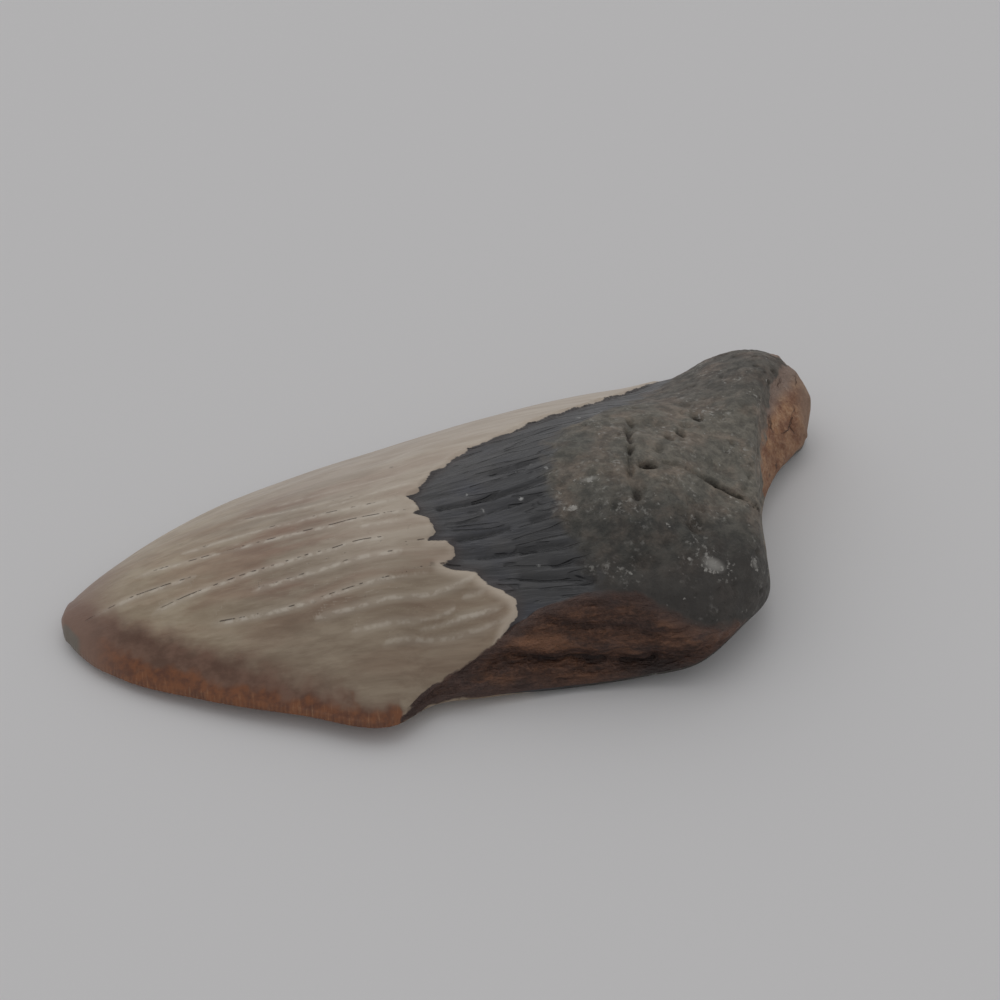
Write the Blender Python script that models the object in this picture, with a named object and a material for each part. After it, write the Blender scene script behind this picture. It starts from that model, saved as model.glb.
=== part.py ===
"""A fossil megalodon tooth that lies on its flat labial face, lingual side up.

The blade tapers to the tip at -X and the root is at +X. +Y is the side whose cutting edge and
root lobe are whole. On the -Y side the edge is broken away from the middle of the blade to the
root, and the break shows as a tall wall. The tooth grew as one piece, so it is one solid.

Sections are laid across the tooth from the tip to the end of the whole root lobe. Each section
is a closed loop of four parts: the domed lingual face, the wall on the -Y side, the flat labial
face and the thin edge on the +Y side.
"""
import bpy
import bmesh
import numpy as np

MM = 0.001                   # lengths below are in millimetres
SECTIONS = 76                # sections from the tip to the lobe
DOME_POINTS = 42             # points of each section over the lingual face
WALL_POINTS = 10             # down the -Y wall
REST_POINTS = 14             # across the labial face
EDGE_POINTS = 3              # up the +Y edge
REST_SHARE = 0.30            # the labial face curls up over this share of each side
TIP_LIFT, TIP_LIFT_END = 1.8, 8    # the tip is clear of the table by this, and up to this x
SECTION_SPACING = (          # share of the sections, and the share of the tooth's length they reach
    (0, 0.10, 0.34, 0.90, 1),
    (0, 0.04, 0.42, 0.96, 1),
)
ENAMEL_STEP = 0.6            # how far the enamel stands above the bourlette
BAND_DIP = 0.35              # how far the bourlette sags between enamel and root
FLUTE_HEIGHT = 0.16          # long low waves down the enamel
SKIN_HEIGHT = 0.28           # the coarse, lumpy skin of the root
LOBE_OVERLAP = 0.5           # the near lobe stands over the crack beside it
SHARP_ANGLE = 38             # degrees, above which two facets meet in a crease

# One row per section, tip first, measured from the tip: x to the root, y to the whole side.
# Wall foot: x, y, height. Wall top: shift in x and y from its foot, height.
# Whole edge: x, y, lower height, upper height. Ridge: share of the way across, height.
# Dome: fullness of the -Y side, of the +Y side, and how round the +Y shoulder is (1 = not).
# Wall: 0 = a flat break, 1 = rounded as grown.
ROWS = (
    # foot                wall top            whole edge               ridge         dome              wall
    ((0.0, 0.9, 1.9),     (0.0, 0.1, 2.4),    (0.0, 2.3, 1.9, 2.4),    (0.50, 2.6),  (2.0, 2.0, 1.00), 0.5),
    ((0.4, -1.0, 1.8),    (0.0, 0.2, 2.3),    (0.3, 4.0, 1.8, 2.4),    (0.50, 3.1),  (1.9, 1.8, 1.00), 0.5),
    ((1.6, -3.4, 1.7),    (0.0, 0.3, 2.3),    (1.4, 5.8, 1.7, 2.5),    (0.51, 3.9),  (1.8, 1.7, 1.00), 0.5),
    ((3.9, -6.5, 1.5),    (0.0, 0.3, 2.2),    (3.4, 8.4, 1.7, 2.7),    (0.52, 5.2),  (1.8, 1.6, 1.00), 0.5),
    ((9.0, -10.9, 1.5),   (0.0, 0.3, 2.3),    (8.6, 14.3, 1.8, 2.7),   (0.50, 7.8),  (1.8, 1.5, 1.00), 0.5),
    ((20.5, -17.0, 2.0),  (0.0, 0.3, 2.8),    (20.0, 23.9, 2.0, 2.8),  (0.49, 11.4), (1.8, 1.5, 1.00), 0.5),
    ((34.0, -22.2, 2.5),  (0.0, 0.3, 3.3),    (34.5, 31.5, 2.2, 3.0),  (0.49, 15.0), (1.8, 1.5, 1.00), 0.5),
    ((47.0, -25.9, 2.6),  (0.0, 0.4, 3.6),    (50.0, 37.7, 2.3, 3.1),  (0.48, 18.2), (1.9, 1.5, 1.00), 0.5),
    ((52.8, -22.2, 2.2),  (0.0, 1.1, 4.6),    (57.0, 40.5, 2.3, 3.1),  (0.45, 19.4), (1.9, 1.5, 1.00), 0.1),
    ((59.6, -21.2, 1.7),  (0.0, 2.9, 7.4),    (64.4, 43.3, 2.3, 3.1),  (0.43, 20.2), (1.9, 1.5, 1.00), 0.1),
    ((65.6, -20.6, 1.4),  (0.0, 4.2, 11.4),   (70.0, 45.1, 2.3, 3.1),  (0.41, 20.9), (1.9, 1.5, 1.00), 0.1),
    ((71.0, -20.2, 1.1),  (0.1, 4.5, 13.9),   (75.0, 46.7, 2.3, 3.1),  (0.39, 21.5), (2.0, 1.5, 1.00), 0.2),
    ((82.0, -20.2, 2.0),  (0.0, 4.0, 15.0),   (85.0, 49.0, 2.3, 3.2),  (0.36, 22.4), (2.0, 1.5, 1.00), 0.4),
    ((90.6, -20.2, 4.0),  (-0.6, 3.6, 13.6),  (94.0, 50.3, 2.3, 3.3),  (0.35, 21.2), (1.9, 1.6, 0.95), 0.7),
    ((97.2, -15.8, 5.8),  (-2.2, 2.4, 13.2),  (101.0, 50.8, 2.4, 4.0), (0.38, 19.0), (1.8, 1.8, 0.80), 0.9),
    ((103.3, -8.6, 5.4),  (-2.6, 1.0, 14.0),  (106.5, 51.3, 2.5, 5.0), (0.42, 17.8), (2.0, 2.0, 0.60), 0.8),
    ((105.6, 1.2, 4.5),   (-1.6, 0.0, 14.2),  (111.0, 50.4, 2.6, 6.6), (0.50, 17.3), (2.2, 2.0, 0.50), 0.6),
    ((107.8, 12.0, 4.0),  (-1.4, 0.8, 14.2),  (114.8, 48.4, 2.8, 7.6), (0.52, 16.7), (2.2, 2.0, 0.48), 0.7),
    ((112.4, 21.2, 3.6),  (-2.6, 4.0, 14.0),  (117.8, 45.8, 3.0, 7.8), (0.52, 15.8), (2.2, 2.0, 0.48), 0.8),
    ((117.5, 26.9, 3.6),  (-3.2, 5.6, 13.4),  (119.9, 42.8, 3.6, 7.8), (0.52, 14.4), (2.2, 2.0, 0.50), 0.9),
    ((120.5, 30.9, 4.2),  (-2.2, 4.2, 11.8),  (121.3, 39.8, 4.6, 7.8), (0.50, 12.2), (2.2, 2.0, 0.60), 0.9),
    ((121.8, 34.6, 6.2),  (-0.1, 0.4, 8.6),   (121.9, 36.6, 6.6, 8.4), (0.50, 8.8),  (2.0, 2.0, 1.00), 0.9),
)

# The lower border of the enamel is a V across the lingual face: x where it crosses each y.
ENAMEL_Y = (-17, -10, -4, 0, 4.4, 8.8, 14, 20, 26, 34, 42)
ENAMEL_X = (65.6, 59.6, 55.2, 53.8, 52.6, 55.6, 60.4, 69.5, 77.8, 85.5, 94)
# The bourlette is the dark band between the enamel and the root.
ROOT_Y = (-17, -8, 2, 12, 20, 28, 36, 44)
ROOT_X = (77, 74.2, 72, 73, 78.5, 84, 90, 97)

# Swellings and pits of the root: x, y, half-length along x, half-length along y, height.
LUMPS = (
    (96, -9, 8, 7, 1.3),         # near lobe
    (112, 30, 9, 12, 0.9),       # whole lobe
    (88, 22, 9, 8, 0.7),         # shoulder of the whole lobe
    (103, 6, 6, 6, -1.1),        # saddle between the lobes
    (79, -4, 6, 9, 0.5),         # swelling behind the bourlette
    (87.0, 4.0, 1.9, 1.6, -3.0), # nutrient hole
    (89.5, 7.7, 1.7, 1.7, -1.0),
    (91.8, 12.0, 1.6, 1.6, -0.9),
    (94.6, 14.6, 1.8, 1.8, -1.3),
    (98.4, 20.8, 1.8, 1.8, -1.1),
    (91.9, -7.1, 2.4, 2.0, -1.3),
    (83.2, -12.8, 3.2, 1.6, -0.7),
    (106, 22, 3.0, 2.4, 0.5),
)
# Grooves of the root: points along them, half-width, depth.
GROOVES = (
    (((86.6, 17), (85.4, 11), (84.2, 5), (83.7, 1), (83.4, -4)), 1.1, 1.2),
    (((92, 2.6), (96, 3.4), (99, 3), (107, 1.6)), 1.1, 1.7),
)

# The break: x over which it begins and ends, and the height of the long split in it.
BREAK_BEGINS, BREAK_ENDS = (50, 58), (90, 99)
SPLIT_X = (50, 56, 62, 68, 76, 82, 88, 96)
SPLIT_Z = (2.6, 5.0, 6.5, 5.8, 4.7, 3.9, 4.7, 5.4)
# Its layers: height over the split, half-height, how far they stand out.
LAYERS = ((0, 1.3, -1.5), (-2.4, 1.3, 0.7), (2.8, 1.3, 0.5))
RIM_HOLLOW = (11, 1.6, 0.7)  # under the upper rim: height, half-height, depth
SPLINTER_HEIGHT = 0.3
# The scar at the base of the whole lobe: its even depth, then a dish in it: y, z and depth.
SCAR_DEPTH = 0.7
SCAR_DISH = (22, 9, 0.9)


def smooth_curve(at, knots, values):
    """A smooth curve through the values at the knots: cubic pieces that share their slopes."""
    knots, values = np.asarray(knots, float), np.asarray(values, float)
    slopes = np.gradient(values, knots)
    i = np.clip(np.searchsorted(knots, at, side="right") - 1, 0, len(knots) - 2)
    step = knots[i + 1] - knots[i]
    t = (at - knots[i]) / step
    return (
        (2 * t**3 - 3 * t**2 + 1) * values[i]
        + (t**3 - 2 * t**2 + t) * step * slopes[i]
        + (3 * t**2 - 2 * t**3) * values[i + 1]
        + (t**3 - t**2) * step * slopes[i + 1]
    )


def smooth_step(value, low, high):
    """0 below low, 1 above high, and smooth between them."""
    t = np.clip((value - low) / (high - low), 0, 1)
    return t * t * (3 - 2 * t)


def bell(distance):
    """1 at no distance, falling smoothly to almost nothing at 2."""
    return np.exp(-1.2 * distance**2)


def line_distance(x, y, points):
    """The distance from each place to a line of straight pieces."""
    nearest = np.full(np.shape(x), 1e9)
    for (ax, ay), (bx, by) in zip(points[:-1], points[1:]):
        along = np.clip(((x - ax) * (bx - ax) + (y - ay) * (by - ay)) / ((bx - ax) ** 2 + (by - ay) ** 2), 0, 1)
        nearest = np.minimum(nearest, np.hypot(x - ax - along * (bx - ax), y - ay - along * (by - ay)))
    return nearest


def stations():
    """The rows as smooth curves, sampled at SECTIONS places along the tooth."""
    table = np.array([sum((tuple(part) for part in row[:-1]), ()) + (row[-1],) for row in ROWS])
    middle = (table[:, 0:2] + table[:, 6:8]) / 2
    knots = np.concatenate([[0], np.cumsum(np.hypot(*np.diff(middle, axis=0).T))])
    knots /= knots[-1]
    # Closer together at the ends, where the outline turns fastest, and over the lumpy root.
    places = smooth_curve(np.linspace(0, 1, SECTIONS), SECTION_SPACING[0], SECTION_SPACING[1])
    columns = [smooth_curve(places, knots, table[:, j])[:, None] for j in range(table.shape[1])]
    names = "foot_x foot_y foot_z top_dx top_dy top_z edge_x edge_y edge_low edge_high " \
            "ridge_at ridge_z near_full far_full shoulder wall_round"
    return dict(zip(names.split(), columns))


def dome(row):
    """The lingual face, from the whole edge over the ridge to the top of the wall."""
    even = np.linspace(0, 1, DOME_POINTS)
    across = (0.65 * (1 - even) + 0.35 * (0.5 + 0.5 * np.cos(np.pi * even)))[None, :]
    top_x, top_y = row["foot_x"] + row["top_dx"], row["foot_y"] + row["top_dy"]
    near = np.clip(1 - across / row["ridge_at"], 0, 1)
    far = np.clip((across - row["ridge_at"]) / (1 - row["ridge_at"]), 0, 1)
    z_near = row["top_z"] + (row["ridge_z"] - row["top_z"]) * (1 - near ** row["near_full"])
    z_far = row["edge_high"] + (row["ridge_z"] - row["edge_high"]) * (
        np.maximum(1 - far ** row["far_full"], 0) ** row["shoulder"])
    x = top_x + (row["edge_x"] - top_x) * across
    y = top_y + (row["edge_y"] - top_y) * across
    return x, y, np.where(across < row["ridge_at"], z_near, z_far)


def wall(row):
    """The -Y side, from the top of the wall down to its foot."""
    down = np.linspace(0, 1, WALL_POINTS + 2)[None, 1:-1]
    out = down + (np.sin(np.pi * down / 2) - down) * row["wall_round"]
    x = row["foot_x"] + row["top_dx"] * (1 - out)
    y = row["foot_y"] + row["top_dy"] * (1 - out)
    return x, y, row["top_z"] + (row["foot_z"] - row["top_z"]) * down


def rest(row):
    """The labial face: flat at height 0, curling up towards each side and the tip."""
    across = np.linspace(0, 1, REST_POINTS)[None, :]
    near = np.clip(1 - across / REST_SHARE, 0, 1) ** 2
    far = np.clip(1 - (1 - across) / REST_SHARE, 0, 1) ** 2
    x = row["foot_x"] + (row["edge_x"] - row["foot_x"]) * across
    y = row["foot_y"] + (row["edge_y"] - row["foot_y"]) * across
    lift = TIP_LIFT * np.clip(1 - x / TIP_LIFT_END, 0, 1)
    return x, y, np.maximum(row["foot_z"] * near + row["edge_low"] * far, lift)


def edge(row):
    """The +Y side, from the labial face up to the lingual face."""
    up = np.linspace(0, 1, EDGE_POINTS + 2)[None, 1:-1]
    height = row["edge_low"] + (row["edge_high"] - row["edge_low"]) * up
    return row["edge_x"] + 0 * up, row["edge_y"] + 0 * up, height


def outward(points):
    """The direction straight out of the surface at each point of the grid of sections."""
    along = np.gradient(points, axis=0)
    around = (np.roll(points, -1, axis=1) - np.roll(points, 1, axis=1)) / 2
    normal = np.cross(around, along)
    return normal / np.maximum(np.linalg.norm(normal, axis=2, keepdims=True), 1e-9)


def dome_relief(x, y):
    """How far the lingual face stands out or in, in millimetres."""
    enamel_x = np.interp(y, ENAMEL_Y, ENAMEL_X)
    root_x = np.interp(y, ROOT_Y, ROOT_X)
    height = ENAMEL_STEP * (smooth_step(enamel_x - x, -0.9, 0.9) - 1)
    middle, half = (enamel_x + root_x) / 2, np.maximum((root_x - enamel_x) / 2, 2)
    height -= BAND_DIP * bell((x - middle) / half)
    on_root = smooth_step(x - root_x, -2, 2)
    for cx, cy, rx, ry, lift in LUMPS:
        height += lift * on_root * bell(np.hypot((x - cx) / rx, (y - cy) / ry))
    for points, half_width, depth in GROOVES:
        height -= depth * on_root * bell(line_distance(x, y, points) / half_width)
    height += LOBE_OVERLAP * bell((y - 0.7) / 1.6) * smooth_step(x, 92, 97) * on_root
    # The flutes of the enamel spread out from the tip.
    flutes = FLUTE_HEIGHT * np.sin(0.62 * (y - 4) * 60 / np.maximum(x + 12, 20))
    height += flutes * smooth_step(enamel_x - x, 2, 8) * smooth_step(x, 10, 30)
    skin = np.sin(0.9 * x + 0.5 * y) * np.sin(0.8 * y - 0.35 * x + 1)
    fine_skin = np.sin(1.7 * x - 0.9 * y + 2) * np.sin(1.4 * y + 0.6 * x)
    return height + on_root * SKIN_HEIGHT * (skin + 0.6 * fine_skin)


def wall_relief(x, y, z):
    """How far the -Y wall stands out or in: layers in the break, a scar on the whole lobe's base."""
    broken = smooth_step(x, *BREAK_BEGINS) * (1 - smooth_step(x, *BREAK_ENDS))
    over_split = z - np.interp(x, SPLIT_X, SPLIT_Z)
    height = SPLINTER_HEIGHT * (np.sin(0.7 * x + 0.9 * z) + np.sin(1.5 * x - 0.5 * z))
    for middle, half, lift in LAYERS:
        height += lift * bell((over_split - middle) / half)
    hollow_z, hollow_half, hollow_depth = RIM_HOLLOW
    height -= hollow_depth * bell((z - hollow_z) / hollow_half) * smooth_step(x, 62, 70)
    scar = smooth_step(x - 0.31 * y, 104.5, 106) * smooth_step(y, 8, 12)
    dish_y, dish_z, dish_depth = SCAR_DISH
    dish = dish_depth * bell(np.hypot(y - dish_y, (z - dish_z) / 1.5) / 1.6)
    return broken * height - scar * (SCAR_DEPTH * smooth_step(z, 4, 6) + dish)


def soften(points, weight, passes):
    """Moves each point of a section towards the middle of its neighbours, by its weight."""
    for _ in range(passes):
        middle = (np.roll(points, 1, axis=1) + np.roll(points, -1, axis=1)) / 2
        points = points + weight[None, :, None] * (middle - points)
    return points


def tooth_points():
    """The grid of points, one row per section, in millimetres from the tip."""
    row = stations()
    parts = [np.stack(np.broadcast_arrays(*part(row)), axis=-1) for part in (dome, wall, rest, edge)]
    points = np.concatenate(parts, axis=1)
    on_dome = np.zeros(points.shape[1])
    on_dome[1:DOME_POINTS - 1] = 1
    on_wall = np.zeros(points.shape[1])
    on_wall[DOME_POINTS:DOME_POINTS + WALL_POINTS] = 1
    worn = np.zeros(points.shape[1])
    worn[DOME_POINTS - 2:DOME_POINTS + 2] = 0.5
    points = soften(points, worn, 2)
    x, y, z = np.moveaxis(points, 2, 0)
    relief = on_dome * dome_relief(x, y) + on_wall * wall_relief(x, y, z)
    ends = np.minimum(np.arange(SECTIONS), np.arange(SECTIONS)[::-1])[:, None]
    relief = relief * np.clip(ends / 3, 0, 1)
    return soften(points + relief[..., None] * outward(points), worn, 1)


def tooth_mesh(name, points):
    """One closed mesh: the sections joined by quads, and a fan to a middle point at each end."""
    low, high = points.min(axis=(0, 1)), points.max(axis=(0, 1))
    points = points - [(low[0] + high[0]) / 2, (low[1] + high[1]) / 2, low[2]]
    bm = bmesh.new()
    rings = [[bm.verts.new(p * MM) for p in ring] for ring in points]
    count = points.shape[1]
    for one, two in zip(rings[:-1], rings[1:]):
        for j in range(count):
            k = (j + 1) % count
            bm.faces.new((one[j], one[k], two[k], two[j]))
    for ring, step in ((rings[0], -1), (rings[-1], 1)):
        middle = bm.verts.new(np.mean([v.co for v in ring], axis=0))
        for j in range(count):
            pair = (ring[j], ring[(j + 1) % count])[::step]
            bm.faces.new((middle, *pair))
    bmesh.ops.recalc_face_normals(bm, faces=bm.faces)
    bmesh.ops.triangulate(bm, faces=bm.faces)
    mesh = bpy.data.meshes.new(name)
    bm.to_mesh(mesh)
    bm.free()
    mesh.shade_smooth()
    mesh.set_sharp_from_angle(angle=np.radians(SHARP_ANGLE))
    return mesh


def fossil_material():
    """The overall colour of the fossil: warm grey stone with a low shine."""
    material = bpy.data.materials.new("fossil_tooth")
    material.use_nodes = True
    shader = material.node_tree.nodes["Principled BSDF"]
    shader.inputs["Base Color"].default_value = (0.22, 0.18, 0.14, 1)
    shader.inputs["Roughness"].default_value = 0.55
    shader.inputs["Metallic"].default_value = 0
    return material


def main():
    for old in list(bpy.data.objects):
        bpy.data.objects.remove(old, do_unlink=True)
    mesh = tooth_mesh("megalodon_tooth", tooth_points())
    mesh.materials.append(fossil_material())
    tooth = bpy.data.objects.new("megalodon_tooth", mesh)
    bpy.context.scene.collection.objects.link(tooth)


if __name__ == "__main__":
    main()
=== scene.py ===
# %% [markdown]
# # A fossil megalodon tooth
#
# This notebook dresses one solid: a shark's tooth that turned to stone in river mud. Its blade is
# glossy cream enamel, the dark band behind it is the bourlette, and the rest is stony root. One
# cutting edge has snapped off and shows the brown, layered inside.
#
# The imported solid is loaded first. It gives the place and size that everything below keeps to.

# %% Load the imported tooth
import itertools

import bpy
import numpy as np
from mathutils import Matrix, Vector


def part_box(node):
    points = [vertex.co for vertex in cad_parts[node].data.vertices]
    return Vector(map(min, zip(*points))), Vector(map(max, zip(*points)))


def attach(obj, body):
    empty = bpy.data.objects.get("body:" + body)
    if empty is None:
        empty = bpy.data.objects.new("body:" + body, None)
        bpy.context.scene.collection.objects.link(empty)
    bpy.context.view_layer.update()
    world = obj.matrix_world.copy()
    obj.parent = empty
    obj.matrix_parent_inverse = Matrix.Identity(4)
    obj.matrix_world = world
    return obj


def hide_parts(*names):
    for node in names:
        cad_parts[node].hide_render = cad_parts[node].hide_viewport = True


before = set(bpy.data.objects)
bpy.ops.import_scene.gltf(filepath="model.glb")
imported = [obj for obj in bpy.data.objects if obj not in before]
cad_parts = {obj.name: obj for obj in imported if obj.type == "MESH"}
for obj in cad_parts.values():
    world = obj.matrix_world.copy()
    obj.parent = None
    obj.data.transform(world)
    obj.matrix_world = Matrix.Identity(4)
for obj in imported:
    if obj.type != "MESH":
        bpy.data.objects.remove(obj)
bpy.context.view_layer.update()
TOOTH = "megalodon_tooth"
MM = 0.001                     # the lengths below are in millimetres
low_corner, high_corner = (np.array(corner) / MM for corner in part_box(TOOTH))
tooth_size = high_corner - low_corner
print("solid, mm:", tooth_size.round(2))

# %% [markdown]
# ## The form, as sections across the tooth
#
# A tooth like this is a smooth swelling body, so it could be sculpted or carved from a block. Here
# it is a lofted surface: a few sections are listed, smooth curves run through their numbers, and
# hundreds of sections in between are read from the curves. The same sections shape the solid, so the
# two agree; here they are only laid closer together.
#
# Each row is one section, and its numbers are measured from the tip, x to the root and y to the
# whole side.

# %% The described sections
ROWS = (
    # foot                wall top            whole edge               ridge         dome              wall
    ((0.0, 0.9, 1.9),     (0.0, 0.1, 2.4),    (0.0, 2.3, 1.9, 2.4),    (0.50, 2.6),  (2.0, 2.0, 1.00), 0.5),
    ((0.4, -1.0, 1.8),    (0.0, 0.2, 2.3),    (0.3, 4.0, 1.8, 2.4),    (0.50, 3.1),  (1.9, 1.8, 1.00), 0.5),
    ((1.6, -3.4, 1.7),    (0.0, 0.3, 2.3),    (1.4, 5.8, 1.7, 2.5),    (0.51, 3.9),  (1.8, 1.7, 1.00), 0.5),
    ((3.9, -6.5, 1.5),    (0.0, 0.3, 2.2),    (3.4, 8.4, 1.7, 2.7),    (0.52, 5.2),  (1.8, 1.6, 1.00), 0.5),
    ((9.0, -10.9, 1.5),   (0.0, 0.3, 2.3),    (8.6, 14.3, 1.8, 2.7),   (0.50, 7.8),  (1.8, 1.5, 1.00), 0.5),
    ((20.5, -17.0, 2.0),  (0.0, 0.3, 2.8),    (20.0, 23.9, 2.0, 2.8),  (0.49, 11.4), (1.8, 1.5, 1.00), 0.5),
    ((34.0, -22.2, 2.5),  (0.0, 0.3, 3.3),    (34.5, 31.5, 2.2, 3.0),  (0.49, 15.0), (1.8, 1.5, 1.00), 0.5),
    ((47.0, -25.9, 2.6),  (0.0, 0.4, 3.6),    (50.0, 37.7, 2.3, 3.1),  (0.48, 18.2), (1.9, 1.5, 1.00), 0.5),
    ((52.8, -22.2, 2.2),  (0.0, 1.1, 4.6),    (57.0, 40.5, 2.3, 3.1),  (0.45, 19.4), (1.9, 1.5, 1.00), 0.1),
    ((59.6, -21.2, 1.7),  (0.0, 2.9, 7.4),    (64.4, 43.3, 2.3, 3.1),  (0.43, 20.2), (1.9, 1.5, 1.00), 0.1),
    ((65.6, -20.6, 1.4),  (0.0, 4.2, 11.4),   (70.0, 45.1, 2.3, 3.1),  (0.41, 20.9), (1.9, 1.5, 1.00), 0.1),
    ((71.0, -20.2, 1.1),  (0.1, 4.5, 13.9),   (75.0, 46.7, 2.3, 3.1),  (0.39, 21.5), (2.0, 1.5, 1.00), 0.2),
    ((82.0, -20.2, 2.0),  (0.0, 4.0, 15.0),   (85.0, 49.0, 2.3, 3.2),  (0.36, 22.4), (2.0, 1.5, 1.00), 0.4),
    ((90.6, -20.2, 4.0),  (-0.6, 3.6, 13.6),  (94.0, 50.3, 2.3, 3.3),  (0.35, 21.2), (1.9, 1.6, 0.95), 0.7),
    ((97.2, -15.8, 5.8),  (-2.2, 2.4, 13.2),  (101.0, 50.8, 2.4, 4.0), (0.38, 19.0), (1.8, 1.8, 0.80), 0.9),
    ((103.3, -8.6, 5.4),  (-2.6, 1.0, 14.0),  (106.5, 51.3, 2.5, 5.0), (0.42, 17.8), (2.0, 2.0, 0.60), 0.8),
    ((105.6, 1.2, 4.5),   (-1.6, 0.0, 14.2),  (111.0, 50.4, 2.6, 6.6), (0.50, 17.3), (2.2, 2.0, 0.50), 0.6),
    ((107.8, 12.0, 4.0),  (-1.4, 0.8, 14.2),  (114.8, 48.4, 2.8, 7.6), (0.52, 16.7), (2.2, 2.0, 0.48), 0.7),
    ((112.4, 21.2, 3.6),  (-2.6, 4.0, 14.0),  (117.8, 45.8, 3.0, 7.8), (0.52, 15.8), (2.2, 2.0, 0.48), 0.8),
    ((117.5, 26.9, 3.6),  (-3.2, 5.6, 13.4),  (119.9, 42.8, 3.6, 7.8), (0.52, 14.4), (2.2, 2.0, 0.50), 0.9),
    ((120.5, 30.9, 4.2),  (-2.2, 4.2, 11.8),  (121.3, 39.8, 4.6, 7.8), (0.50, 12.2), (2.2, 2.0, 0.60), 0.9),
    ((121.8, 34.6, 6.2),  (-0.1, 0.4, 8.6),   (121.9, 36.6, 6.6, 8.4), (0.50, 8.8),  (2.0, 2.0, 1.00), 0.9),
)
COLUMNS = ("foot_x foot_y foot_z top_dx top_dy top_z edge_x edge_y edge_low edge_high "
           "ridge_at ridge_z near_full far_full shoulder wall_round").split()
print("described sections:", len(ROWS))

# %% Smooth curves through the sections
SECTIONS = 430
SECTION_SPACING = (          # share of the sections, and the share of the tooth's length they reach
    (0, 0.08, 0.36, 0.92, 1),
    (0, 0.04, 0.40, 0.96, 1),
)


def smooth_curve(at, knots, values):
    """A smooth curve through the values at the knots: between two knots, the cubic that has their
    values and the slopes of the lines through their neighbours."""
    knots, values = np.asarray(knots, float), np.asarray(values, float)
    slopes = np.gradient(values, knots)
    i = np.clip(np.searchsorted(knots, at, side="right") - 1, 0, len(knots) - 2)
    step = knots[i + 1] - knots[i]
    t = (at - knots[i]) / step
    return (
        (2 * t**3 - 3 * t**2 + 1) * values[i]
        + (t**3 - 2 * t**2 + t) * step * slopes[i]
        + (3 * t**2 - 2 * t**3) * values[i + 1]
        + (t**3 - t**2) * step * slopes[i + 1]
    )


def stations():
    """Each column of the rows as a smooth curve over the length of the tooth's middle line, read at
    SECTIONS places."""
    table = np.array([sum((tuple(part) for part in row[:-1]), ()) + (row[-1],) for row in ROWS])
    middle = (table[:, 0:2] + table[:, 6:8]) / 2
    knots = np.concatenate([[0], np.cumsum(np.hypot(*np.diff(middle, axis=0).T))])
    at = smooth_curve(np.linspace(0, 1, SECTIONS), *SECTION_SPACING)
    return {name: smooth_curve(at, knots / knots[-1], values)[:, None]
            for name, values in zip(COLUMNS, table.T)}


row = stations()
print("sections:", SECTIONS, "over", row["edge_x"].max().round(1), "mm")

# %% [markdown]
# ## Four strips make one closed loop
#
# A section runs round the tooth in four strips: over the domed lingual face, down the wall of the
# broken side, across the flat labial face and up the thin whole edge. Each strip is a formula of
# two parameters, the section and the place on the strip, and numpy works out all sections at once.

# %% The four strips
DOME_POINTS, WALL_POINTS, REST_POINTS, EDGE_POINTS = 158, 38, 26, 6
NEAR_CROWDING = 0.22           # the dome's points lie this share closer on the broken side
REST_SHARE = 0.30              # the labial face curls up over this share of each side
TIP_LIFT, TIP_LIFT_END = 1.8, 8    # the tip is clear of the table by this, and up to this x


def places(x_column, y_column):
    """Two columns of the sections, as x and y."""
    return np.stack([row[x_column], row[y_column]])


def dome_strip():
    """From the whole edge to the top of the wall. Height is that of the ridge less a share that
    grows as a power of the distance from it, with one power for each side."""
    even = np.linspace(0, 1, DOME_POINTS)[None, :]
    across = (1 - even) * (1 - NEAR_CROWDING * even)
    near = np.clip(1 - across / row["ridge_at"], 0, 1)
    far = np.clip((across - row["ridge_at"]) / (1 - row["ridge_at"]), 0, 1)
    z_near = row["top_z"] + (row["ridge_z"] - row["top_z"]) * (1 - near ** row["near_full"])
    z_far = row["edge_high"] + (row["ridge_z"] - row["edge_high"]) * (
        np.maximum(1 - far ** row["far_full"], 0) ** row["shoulder"])
    x, y = top + (edge - top) * across
    return x, y, np.where(across < row["ridge_at"], z_near, z_far)


def wall_strip():
    """From the top of the wall to its foot. It moves out evenly, or as a sine where it is round."""
    down = np.linspace(0, 1, WALL_POINTS + 2)[None, 1:-1]
    out = down + (np.sin(np.pi * down / 2) - down) * row["wall_round"]
    x, y = foot + places("top_dx", "top_dy") * (1 - out)
    return x, y, row["top_z"] + (row["foot_z"] - row["top_z"]) * down


def rest_strip():
    """Across the labial face at height 0, lifting at each side as the square of the way out, and
    towards the tip in a straight slope."""
    across = np.linspace(0, 1, REST_POINTS)[None, :]
    near = np.clip(1 - across / REST_SHARE, 0, 1) ** 2
    far = np.clip(1 - (1 - across) / REST_SHARE, 0, 1) ** 2
    x, y = foot + (edge - foot) * across
    lift = TIP_LIFT * np.clip(1 - x / TIP_LIFT_END, 0, 1)
    return x, y, np.maximum(row["foot_z"] * near + row["edge_low"] * far, lift)


def edge_strip():
    """Straight up the whole edge."""
    up = np.linspace(0, 1, EDGE_POINTS + 2)[None, 1:-1]
    x, y = edge + 0 * up
    return x, y, row["edge_low"] + (row["edge_high"] - row["edge_low"]) * up


foot, edge = places("foot_x", "foot_y"), places("edge_x", "edge_y")
top = foot + places("top_dx", "top_dy")
print("the tooth is", np.ptp(edge[0]).round(1), "mm long at its whole edge")

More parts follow.
